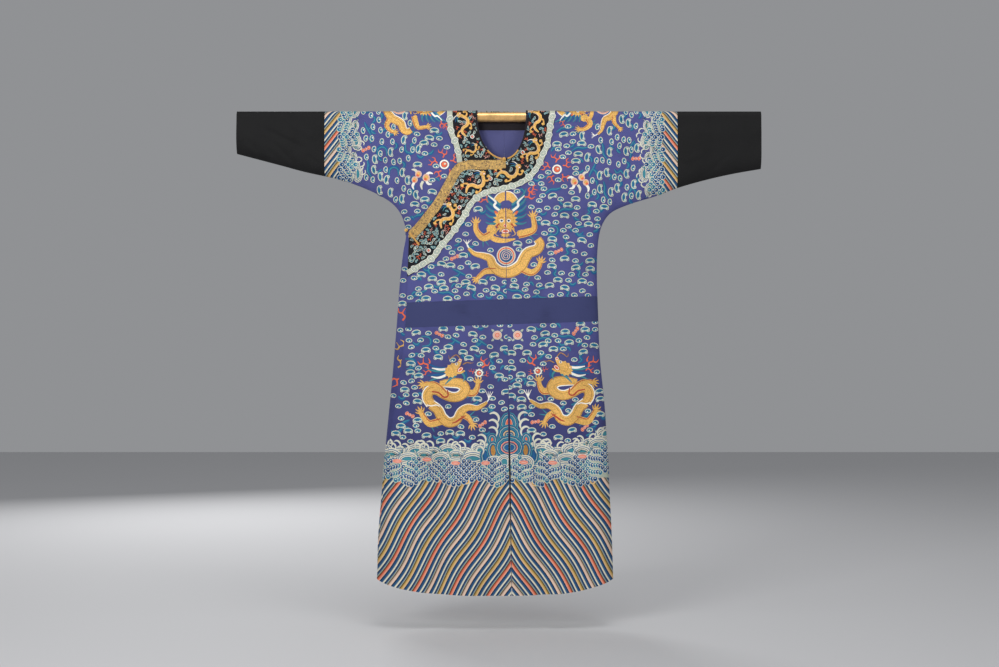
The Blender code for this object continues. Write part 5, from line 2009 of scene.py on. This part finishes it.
def wave(wide, high):
    """A heaped wave of nested bands."""
    made = Motif()
    bands = (("cream", 3.8), ("blue", 1.9), ("cream", 3.4), ("navy", 1.7), ("cream", 3.0), ("blue", 1.5))
    room = (min(wide, high) - 2.0) / sum(width for _, width in bands)
    bands = [(dye, width * min(1.0, room)) for dye, width in bands]
    made.disc(0, 0, wide, high, *bands, "teal", layer=0, segments=26, base=0.7)
    return made.woven()


def ripple(first, second):
    """One ring of the water's surface."""
    made = Motif()
    made.disc(0, 0, 7.4, 8.0, ("cream", 1.2), (first, 2.7), second, segments=12)
    made.disc(0, 1.8, 2.0, 1.6, "cream", layer=0.4, segments=6)
    return made.woven()


def sea(shore, low, ends, seed, turned=False):
    """Heaped waves, spray and rippled water along a line, as placed motifs.

    The line's places are shore(s) where the water starts and low(s) where it ends, for s
    between the ends; turned water stands along the sleeve and faces the body."""
    draw = np.random.default_rng(seed)
    way = math.copysign(1, shore(0.0)) if turned else 1
    turn = way * math.pi / 2 if turned else 0.0

    def put(motif, s, t, size=1.0, flip=1, layer=0):
        x, drop = (t, s) if turned else (s, t)
        return laid(motif, x, drop, turn, size, flip, layer)

    start, stop = ends
    made = []
    crests = [wave(34, 24), wave(27, 20)]
    spray = Motif()
    curl(spray, 0, 0, 0.8, 1, 0)
    spray = spray.woven()
    for row, deep in enumerate((0.004, 0.019)):
        for order, s in enumerate(np.arange(start + CREST_PITCH / 2 * row, stop, CREST_PITCH)):
            size = draw.uniform(0.85, 1.1) * (0.66 if turned else 1)
            crest = crests[(order + row) % 2]
            made.append(put(crest, s, shore(s) + way * deep, size, 1, 2 * row))
            if draw.random() < 0.75 and start + 0.02 < s < stop - 0.02:
                flip = int(draw.choice((-1, 1)))
                out = draw.uniform(0.016, 0.024) * (0.7 if turned else 1)
                size = 0.8 if turned else 1.15
                for step in range(2):
                    at = shore(s) - way * (out - 0.007 * step)
                    made.append(put(spray, s + flip * 0.013 * step, at, size, flip))
    kinds = [ripple(*pair) for pair in (("blue", "navy"), ("blue", "navy"), ("teal", "blue"))]
    along, share = np.meshgrid(np.linspace(start, stop, 60), np.linspace(0, 1, 16))
    near = np.abs(shore(along)) + (0.010 if turned else 0.024)
    deep = near + (np.abs(low(along)) - 0.002 - near) * share
    grid = (way * deep.T, along.T, 0) if turned else (along, deep, 0)
    made.append(as_pieces(grid, "sage", -1))
    pitch = RIPPLE_PITCH
    for row in range(9):
        for s in np.arange(start - pitch / 2 * (row % 2), stop + pitch / 2, pitch):
            top = abs(shore(s)) + (0.014 if turned else 0.032) + 0.010 * math.sin(s * 83)
            at = top + row * RIPPLE_DEPTH
            if at < abs(low(s)) + 0.004 and start < s < stop:
                kind = kinds[int(draw.integers(3))]
                made.append(put(kind, s, way * at, 1, 1, 9 + row))
    if not turned:
        patch, shell = Motif(), Motif()
        patch.disc(0, 0, 13, 6, ("pink", 2.0), ("coral", 1.4), "pink")
        shell.disc(0, 0, 8.5, 8.5, ("cream", 1.0), ("gold", 3.4), "blue")
        patch, shell = patch.woven(), shell.woven()
        for s in np.arange(start + 0.04, stop - 0.03, 0.083):
            made.append(put(patch, s, shore(s) + draw.uniform(0.026, 0.040), 1, 1, 18))
            made.append(put(shell, s + 0.03, low(s + 0.03) + 1 * MM, 1, 1, 8))
    return made


def trimmed(piece, clamp):
    """A placed motif cut back to the edges that a clamp moves its places to."""
    spots, faces, dyes, flip = piece
    x, drop, layer = spots.T
    kept_x, kept_drop = clamp(x, drop)
    out = (np.abs(kept_x - x) > 1e-9) | (np.abs(kept_drop - drop) > 1e-9)
    whole = [order for order, corners in enumerate(faces) if not all(out[corners])]
    spots = np.column_stack([kept_x, kept_drop, layer])
    return spots, [faces[order] for order in whole], [dyes[order] for order in whole], flip


def panel_clamp(name):
    """Moves places onto the panel: in from its seams, its sides and the waist band."""
    face = PATTERNS[name][0]
    side = 1 if "left" in name else -1
    outer = flap_side if name.startswith("front_flap") else side_edge(side)
    centre = centre_edge(side, face)
    skirt = name.endswith("skirt")

    def clamp(x, drop):
        in_trunk = drop > ARMPITS[side]
        reach = np.where(in_trunk, side * outer(drop) - MM, 9.0)
        across = np.minimum(side * x, reach)
        if name != "front_right_underlap":
            across = np.maximum(across, side * centre(drop) + 0.4 * MM)
            if skirt:
                drop = np.maximum(drop, below_band(x) + 0.4 * MM)
            else:
                drop = np.minimum(drop, above_band(x) - 0.4 * MM)
        return side * across, drop

    return clamp


def sleeve_clamp(side):
    """Keeps the sleeve's sea between the shoulder fold and the sleeve's lower edge."""
    line = SIDES[side][::-1]
    line = line[np.argmin(line[:, 0]) :]

    def clamp(x, drop):
        low = np.interp(np.abs(x), line[:, 0], line[:, 1]) - MM
        return x, np.clip(drop, FOLD_TOP + 0.3 * MM, low)

    return clamp


CREST_LINES = (
    ("cream", 3.2),
    ("blue", 1.7),
    ("cream", 2.9),
    ("navy", 1.6),
    ("cream", 2.7),
    ("blue", 1.4),
)
ROCK_SPRAY = (
    (32, 112, 1.25),
    (35, 92, 1.25),
    (37, 72, 1.15),
    (70, 52, 1.1),
    (73, 36, 1.1),
    (76, 20, 1.0),
)


def rock():
    """The rock that stands in the sea at the centre seam, with spray at its sides."""
    made = Motif()
    bands = (("teal", 2.4), ("blue", 2.0), ("navy", 1.4), ("cream", 1.0), ("teal", 2.2), ("blue", 1.6))
    peaks = ((0, 90, 27, 34, "coral"), (0, 60, 34, 30, "gold"), (0, 24, 42, 36, "coral"))
    for order, (x, y, wide, high, core) in enumerate(peaks):
        rings = (*bands, *bands[:4], (core, 2.6))
        if order:
            rings = (*rings, ("blue", 2.0), ("navy", 1.2), ("sage", 2.0))
        inside = core if order == 0 else "blue"
        made.disc(x, y, wide, high, *rings, inside, layer=2 + 2 * order, segments=12)
    for side in (-1, 1):
        made.disc(side * 48, 46, 16, 20, *bands, ("teal", 1.8), "coral", layer=3, segments=12)
        made.disc(side * 68, 0, 17, 26, *bands, ("navy", 1.2), "blue", layer=4, segments=12)
        made.disc(side * 46, 16, 19, 28, *bands, ("navy", 1.2), "amber", layer=5, segments=12)
        for x, y, wide, high in ((43, -20, 26, 22), (15, -18, 22, 23)):
            made.disc(side * x, y, wide, high, *CREST_LINES, "teal", layer=9 - x / 20, segments=20)
        for x, y, size in ROCK_SPRAY:
            curl(made, side * x, y, size, side)
    return made


def hem_shore(x):
    """Where the hem's sea starts, higher towards the wearer's left."""
    return SEA_TOP + 0.006 * np.cos(x * 70) - 0.045 * ease((x - 0.20) / 0.1)


def hem_foot(x):
    return SEA_LOW + 0.007 * np.cos(x * 52 + 0.6)


def sleeve_shores(side):
    """The inner and the outer edge of a sleeve's sea, as x at a drop."""
    near, far = (side * value for value in SLEEVE_SEA)

    def shore(drop):
        return near + side * 0.007 * np.cos(drop * 60)

    def foot(drop):
        return far

    return shore, foot


def ground_motifs():
    """Dragons, seas and single emblems as placed motifs, by the panel that shows them."""
    motifs = {name: [] for name in PATTERNS}

    def put(name, motif, places, layer=0):
        for x, drop, *more in places:
            motifs[name].append(laid(motif, x, drop, *more, layer=layer))

    for side, front, back in ((1, "front_left", "back_left"), (-1, "front_flap", "back_right")):
        for panel, drop in ((front, 0.400), (back, 0.385)):
            half = front_dragon().cut(side, 0.15).woven()
            put(panel + "_bodice", half, ((seam_x(drop), drop),))
            rise = rock().cut(side, 2.8).woven()
            put(panel + "_skirt", rise, ((seam_x(0.965), 0.968, SEAM_SHIFT),))
            roses = ((seam_x(0.626) + side * 0.029, 0.626),)
            put(panel + "_skirt", rosette().woven(), roses)
            striding = side_dragon().woven()
            x, at = (0.189, 0.778) if side > 0 else (-0.1464, 0.7835)
            put(panel + "_skirt", striding, ((x, at, 0.0, 1.0, -side),))
            edge = 0.316 if side > 0 else 0.333 if panel == front else 0.343
            ends = sorted((float(seam_x(0.98)), side * edge))
            motifs[panel + "_skirt"] += sea(hem_shore, hem_foot, ends, 31 + side)
    motifs["front_right_underlap"] += sea(hem_shore, hem_foot, (-0.343, -0.296), 37)
    for side, panels, under in (
        (1, ("front_left_bodice", "back_left_bodice"), 0.222),
        (-1, ("front_right_underlap", "back_right_bodice"), 0.186),
    ):
        shoulder_dragon = front_dragon().woven()
        put(panels[0], shoulder_dragon, ((side * 0.292, FOLD_TOP, side * math.pi / 2, 0.72),))
        for panel in panels:
            band = sea(*sleeve_shores(side), (FOLD_TOP + 0.006, under), 41, turned=True)
            motifs[panel] += [trimmed(piece, sleeve_clamp(side)) for piece in band]
    put("front_left_bodice", flaming_pearl().woven(), ((0.160, 0.152),))
    put("front_right_underlap", flaming_pearl().woven(), ((-0.162, 0.138),))
    fruit = peaches().woven()
    put("front_left_bodice", fruit, ((0.222, 0.190, 0.2, 1.0),))
    put("front_right_underlap", fruit, ((-0.226, 0.180, -0.1, 1.0, -1),))
    sprite = bat().woven()
    bats = {
        "front_left_bodice": ((0.386, 0.121, 0.5), (0.164, 0.386, 0.9)),
        "front_right_underlap": ((-0.386, 0.094, 0.9),),
        "front_flap_bodice": ((-0.132, 0.405, 0.9),),
        "front_flap_skirt": ((-0.175, 0.623, 0.0), (-0.258, 0.852, 0.0), (-0.0525, 0.878, 1.1)),
        "front_left_skirt": ((0.212, 0.614, 1.4), (0.097, 0.872, 0.6), (0.238, 0.888, 1.2)),
        "back_left_skirt": ((0.210, 0.630, 1.2), (0.100, 0.869, 0.4)),
        "back_right_skirt": ((-0.190, 0.630, 0.2), (-0.060, 0.869, 0.8)),
        "back_left_bodice": ((0.180, 0.300, 0.4), (0.170, 0.440, 0.9)),
        "back_right_bodice": ((-0.180, 0.300, 0.9), (-0.150, 0.440, 0.4)),
    }
    for name, places in bats.items():
        put(name, sprite, places)
    for size, dye, places in (
        (1.2, "coral", ((-0.281, 0.570), (-0.292, 0.760, 2.6))),
        (1.1, "gold", ((-0.284, 0.660, 1.2), (-0.289, 0.705, -0.4))),
    ):
        fire = Motif()
        flame(fire, 0, -14, 0.0, size, dye)
        put("front_right_underlap", fire.woven(), places)
    return motifs


def scattered(outline, taken, pitch, motifs, seed):
    """Small motifs thrown evenly over an outline, clear of what is there."""
    draw = np.random.default_rng(seed)
    tree = tree_of(taken)
    low, high = outline.min(0), outline.max(0)
    made = []
    for row, drop in enumerate(np.arange(low[1], high[1], pitch * 0.82)):
        for x in np.arange(low[0], high[0], pitch):
            x += pitch / 2 * (row % 2) + draw.normal(0, 0.1 * pitch)
            at = drop + draw.normal(0, 0.1 * pitch)
            inside, gap = in_outline(outline, x, at)
            near = tree.find((x, at, 0))[2] if len(taken) else 1.0
            if inside[0] and gap[0] > 4 * MM and near > 4.4 * MM:
                motif = motifs[int(draw.integers(len(motifs)))]
                turn, size = draw.uniform(0, 2 * math.pi), draw.uniform(0.85, 1.2)
                made.append(laid(motif, x, at, turn, size, 1, 1))
    return made


def yoke_border(line, inward):
    """The yoke's pale edge of little waves."""
    made = Motif()
    middle = nudged(line, inward * 8.5 * MM) * (1000, -1000)
    course = middle[:: max(1, len(middle) // 60)]
    made.ribbon(course, (7.6, 7.6), "sage", layer=2, rows=3)
    for share in (-1, -0.3, 0.3, 1):
        made.ribbon(course, (0.6, 0.6), "cream", layer=3, shift=share * 11)
    steps = spaced(middle, max(2, round(line_length(middle) / 26)))
    for order, (x, y) in enumerate(steps[1:-1]):
        bands = (
            ("white", 1.3),
            ("sage", 1.2),
            ("teal", 0.6),
            ("cream", 1.3),
            ("sage", 1.2),
            ("teal", 0.6),
        )
        made.disc(x, y, 11.5, 8.6, *bands, "cream", layer=5, segments=12, turn=0.7 * (-1) ** order)
    return laid(made.woven(), 0, 0)


def tiny_clouds():
    kinds = []
    dyes = (
        ("cream", "teal", "navy"),
        ("sage", "navy", "teal"),
        ("teal", "sage", "navy"),
        ("sage", "teal", "navy"),
    )
    for rim, inner, core in dyes:
        made = Motif()
        made.disc(0, 0, 5.4, 3.8, (rim, 1.2), (inner, 1.0), core, layer=1, segments=9, base=0.7)
        made.disc(4.4, -2.4, 2.9, 2.3, (rim, 0.9), inner, layer=0, segments=7)
        kinds.append(made.woven())
    for dye in ("coral", "pink"):
        made = Motif()
        flame(made, 0, -6, 0.0, 0.34, dye)
        kinds.append(made.woven())
    return kinds[:4] * 2 + kinds[4:]


def yoke_patterns():
    """Weaves the three pieces of the yoke."""
    kinds = tiny_clouds()
    beast = small_dragon().woven()
    ball = Motif()
    pearl(ball, 0, 0, 0.5)
    ball = ball.woven()
    up, fold = math.pi / 2, FOLD_TOP
    turns = np.linspace(-math.pi / 2, math.pi / 2, 30)
    ends = [(-YOKE_AT_SHOULDER, fold)], [(YOKE_AT_SHOULDER, fold)]
    back_edge = np.vstack([ends[0], back_yoke_bow(turns), ends[1]])
    right_edge = smooth_line(RIGHT_YOKE_EDGE)
    neck = {
        (side, face): neckline(side, face, 24) for side in (1, -1) for face in (FRONT, BACK)
    }
    start = flap_top(0.0140)
    pieces = {
        "yoke_front_over": (
            FRONT,
            over(outer_lift, own=YOKE),
            np.vstack([ends[1], YOKE_LINE, FLAP_TOP_LINE[::-1], neck[1, FRONT][::-1]]),
            (rolled(YOKE_LINE), 1),
            (
                (0.103, 0.010, up, 0.8, 1),
                (0.094, 0.100, 0.93, 0.8, 1),
                (0.024, 0.166, 0.15, 0.85, 1),
                (-0.068, 0.196, 0.55, 0.9, 1),
                (-0.151, 0.288, 0.95, 0.86, 1),
            ),
            ((0.062, 0.104), (-0.030, 0.180), (-0.118, 0.262), (-0.205, 0.385)),
        ),
        "yoke_front_under": (
            FRONT,
            over(flat_lift, own=YOKE),
            np.vstack(
                [[(-YOKE_AT_SHOULDER, fold)], right_edge, [(-0.02, start)], neck[-1, FRONT][::-1]]
            ),
            (rolled(right_edge), -1),
            ((-0.104, 0.022, up, 0.8, 1), (-0.083, 0.098, 0.4, 0.50, 1)),
            ((-0.082, 0.058),),
        ),
        "yoke_back": (
            BACK,
            over(flat_lift, own=YOKE),
            np.vstack([back_edge, neck[1, BACK][::-1], neck[-1, BACK]]),
            (back_edge, 1),
            ((-0.100, 0.010, up, 0.95, 1), (0.100, 0.010, up, 0.95, -1), (0.0, 0.042, 0.0, 0.9, 1)),
            ((-0.052, 0.036), (0.058, 0.036)),
        ),
    }
    for seed, (name, (face, lift, outline, edge, beasts, balls)) in enumerate(pieces.items()):
        own = [yoke_border(*edge)]
        own += [laid(beast, *place, layer=3) for place in beasts]
        own += [laid(ball, *place, layer=3) for place in balls]
        taken = np.vstack([piece[0][:, :2] for piece in own])
        own += scattered(outline, taken, 0.0122, kinds, 60 + seed)
        weave(name + "_pattern", own, lift, face, "yoke_silk")


def patterns():
    """Weaves every ground panel: its own motifs first, and clouds in what they leave."""
    motifs = ground_motifs()
    outlines = ground_outlines()
    taken = {}
    for face in (FRONT, BACK):
        own = [piece for name in PATTERNS if PATTERNS[name][0] == face for piece in motifs[name]]
        taken[face] = np.vstack([piece[0][:, :2] for piece in own])
    wrapped = taken[FRONT][taken[FRONT][:, 1] < FOLD_TOP]
    taken[BACK] = np.vstack([taken[BACK], wrapped * (1, -1) + (0, 2 * FOLD_TOP)])
    for name, (face, lift, seed) in PATTERNS.items():
        pieces = motifs[name] + clouds(outlines[name], taken[face], seed)
        pieces = [trimmed(piece, panel_clamp(name)) for piece in pieces]
        weave(name + "_pattern", pieces, lift, face, "woven_silk")
    yoke_patterns()


def declare_cuts():
    """Looks up what each panel was cut to beside its area, and keeps nothing."""
    for name, (piece, area) in PANELS.items():
        wide, long = CUTS[name]
        min(area, wide * long)


FLOOR = -1.46
LIT_PLACE = (0, 0, -0.6)


def stage():
    """A pale floor, soft studio light and the camera level with the middle of the robe."""
    scene = bpy.context.scene
    bpy.ops.mesh.primitive_plane_add(size=14, location=(0, 0, FLOOR))
    floor = bpy.context.object
    floor.name = "studio_floor"
    look = bpy.data.materials.new("floor_paper")
    look.use_nodes = True
    paper = look.node_tree.nodes["Principled BSDF"].inputs
    paper["Base Color"].default_value = (0.62, 0.62, 0.63, 1)
    paper["Roughness"].default_value = 0.85
    floor.data.materials.append(look)
    floor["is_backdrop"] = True
    world = bpy.data.worlds.new("studio")
    world.use_nodes = True
    background = world.node_tree.nodes["Background"]
    background.inputs["Color"].default_value = (0.50, 0.51, 0.53, 1)
    background.inputs["Strength"].default_value = 0.56
    scene.world = world
    for name, at, size, power in (
        ("key_light", (-2.1, -3.6, 0.7), 1.6, 72),
        ("fill_light", (2.6, -3.4, -0.2), 2.0, 30),
        ("top_light", (0.3, -1.2, 2.4), 1.6, 30),
        ("back_light", (-1.5, 3.4, 0.6), 1.8, 60),
    ):
        lamp = bpy.data.lights.new(name, "AREA")
        lamp.size = size
        lamp.energy = power
        placed = bpy.data.objects.new(name, lamp)
        placed.location = at
        aim = Vector(np.array(LIT_PLACE) - at)
        placed.rotation_euler = aim.to_track_quat("-Z", "Y").to_euler()
        scene.collection.objects.link(placed)
    camera = bpy.data.cameras.new("front_view")
    camera.lens = 60
    camera.sensor_width = 36
    holder = bpy.data.objects.new("front_view", camera)
    holder.location = (-0.0043, -scene.robe_sizes.camera_distance, -0.621)
    holder.rotation_euler = (math.pi / 2, 0, 0)
    scene.collection.objects.link(holder)
    scene.camera = holder
    scene.view_settings.view_transform = "Standard"


class ROBE_OT_grounds(bpy.types.Operator):
    """Cuts the woven bodices, the underlap and the skirts"""

    bl_idname = "robe.grounds"
    bl_label = "Woven grounds"

    def execute(self, context):
        bodice_grounds()
        lower_panels("skirt")
        return {"FINISHED"}


class ROBE_OT_plain_silks(bpy.types.Operator):
    """Cuts the plain waist band and the black sleeve ends"""

    bl_idname = "robe.plain_silks"
    bl_label = "Band and sleeve ends"

    def execute(self, context):
        lower_panels("band")
        black_ends()
        return {"FINISHED"}


class ROBE_OT_yoke(bpy.types.Operator):
    """Cuts the black-ground yoke"""

    bl_idname = "robe.yoke"
    bl_label = "Yoke"

    def execute(self, context):
        yoke_grounds()
        return {"FINISHED"}


class ROBE_OT_trim(bpy.types.Operator):
    """Sews on the gold braid and the neck binding"""

    bl_idname = "robe.trim"
    bl_label = "Braid and binding"

    def execute(self, context):
        trim()
        return {"FINISHED"}


class ROBE_OT_lining(bpy.types.Operator):
    """Lines the back where the open neck shows it"""

    bl_idname = "robe.lining"
    bl_label = "Lining"

    def execute(self, context):
        linings()
        return {"FINISHED"}


class ROBE_OT_fastenings(bpy.types.Operator):
    """Ties the cord loops and button knots"""

    bl_idname = "robe.fastenings"
    bl_label = "Fastenings"

    def execute(self, context):
        fastenings()
        return {"FINISHED"}


class ROBE_OT_patterns(bpy.types.Operator):
    """Weaves dragons, clouds and sea into the grounds"""

    bl_idname = "robe.patterns"
    bl_label = "Woven patterns"

    def execute(self, context):
        patterns()
        return {"FINISHED"}


class ROBE_OT_rod(bpy.types.Operator):
    """Gives the rod its brass"""

    bl_idname = "robe.rod"
    bl_label = "Rod"

    def execute(self, context):
        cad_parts["hanging_rod"].data.materials[0] = brass_look()
        return {"FINISHED"}


class ROBE_OT_cuts(bpy.types.Operator):
    """Looks up what each panel was cut to, and keeps nothing"""

    bl_idname = "robe.cuts"
    bl_label = "Panel cuts"

    def execute(self, context):
        declare_cuts()
        return {"FINISHED"}


class ROBE_OT_stage(bpy.types.Operator):
    """Sets the floor, the lights and the camera"""

    bl_idname = "robe.stage"
    bl_label = "Stage"

    def execute(self, context):
        stage()
        return {"FINISHED"}


STEPS = (
    ROBE_OT_grounds,
    ROBE_OT_plain_silks,
    ROBE_OT_yoke,
    ROBE_OT_trim,
    ROBE_OT_lining,
    ROBE_OT_fastenings,
    ROBE_OT_patterns,
    ROBE_OT_rod,
    ROBE_OT_cuts,
    ROBE_OT_stage,
)


class ROBE_PT_robe(bpy.types.Panel):
    """Lists the robe's colours, sizes and steps"""

    bl_label = "Robe"
    bl_space_type = "VIEW_3D"
    bl_region_type = "UI"
    bl_category = "Robe"

    def draw(self, context):
        scene = context.scene
        for step in STEPS:
            self.layout.operator(step.bl_idname)
        for group in (scene.robe_sizes, scene.robe_dyes):
            box = self.layout.box()
            for name in group.bl_rna.properties.keys():
                if name not in ("rna_type", "name"):
                    box.prop(group, name)


CLASSES = (RobeDyes, RobeSizes, *STEPS, ROBE_PT_robe)


def register():
    for made in CLASSES:
        bpy.utils.register_class(made)
    bpy.types.Scene.robe_dyes = bpy.props.PointerProperty(type=RobeDyes)
    bpy.types.Scene.robe_sizes = bpy.props.PointerProperty(type=RobeSizes)


def unregister():
    del bpy.types.Scene.robe_sizes
    del bpy.types.Scene.robe_dyes
    for made in reversed(CLASSES):
        bpy.utils.unregister_class(made)


def main():
    register()
    bpy.ops.robe.grounds()
    bpy.ops.robe.plain_silks()
    bpy.ops.robe.yoke()
    bpy.ops.robe.trim()
    bpy.ops.robe.lining()
    bpy.ops.robe.fastenings()
    bpy.ops.robe.patterns()
    bpy.ops.robe.rod()
    bpy.ops.robe.cuts()
    bpy.ops.robe.stage()
    boxes = [[list(corner) for corner in box] for box in (CAD_BOX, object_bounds())]


if __name__ == "__main__":
    main()
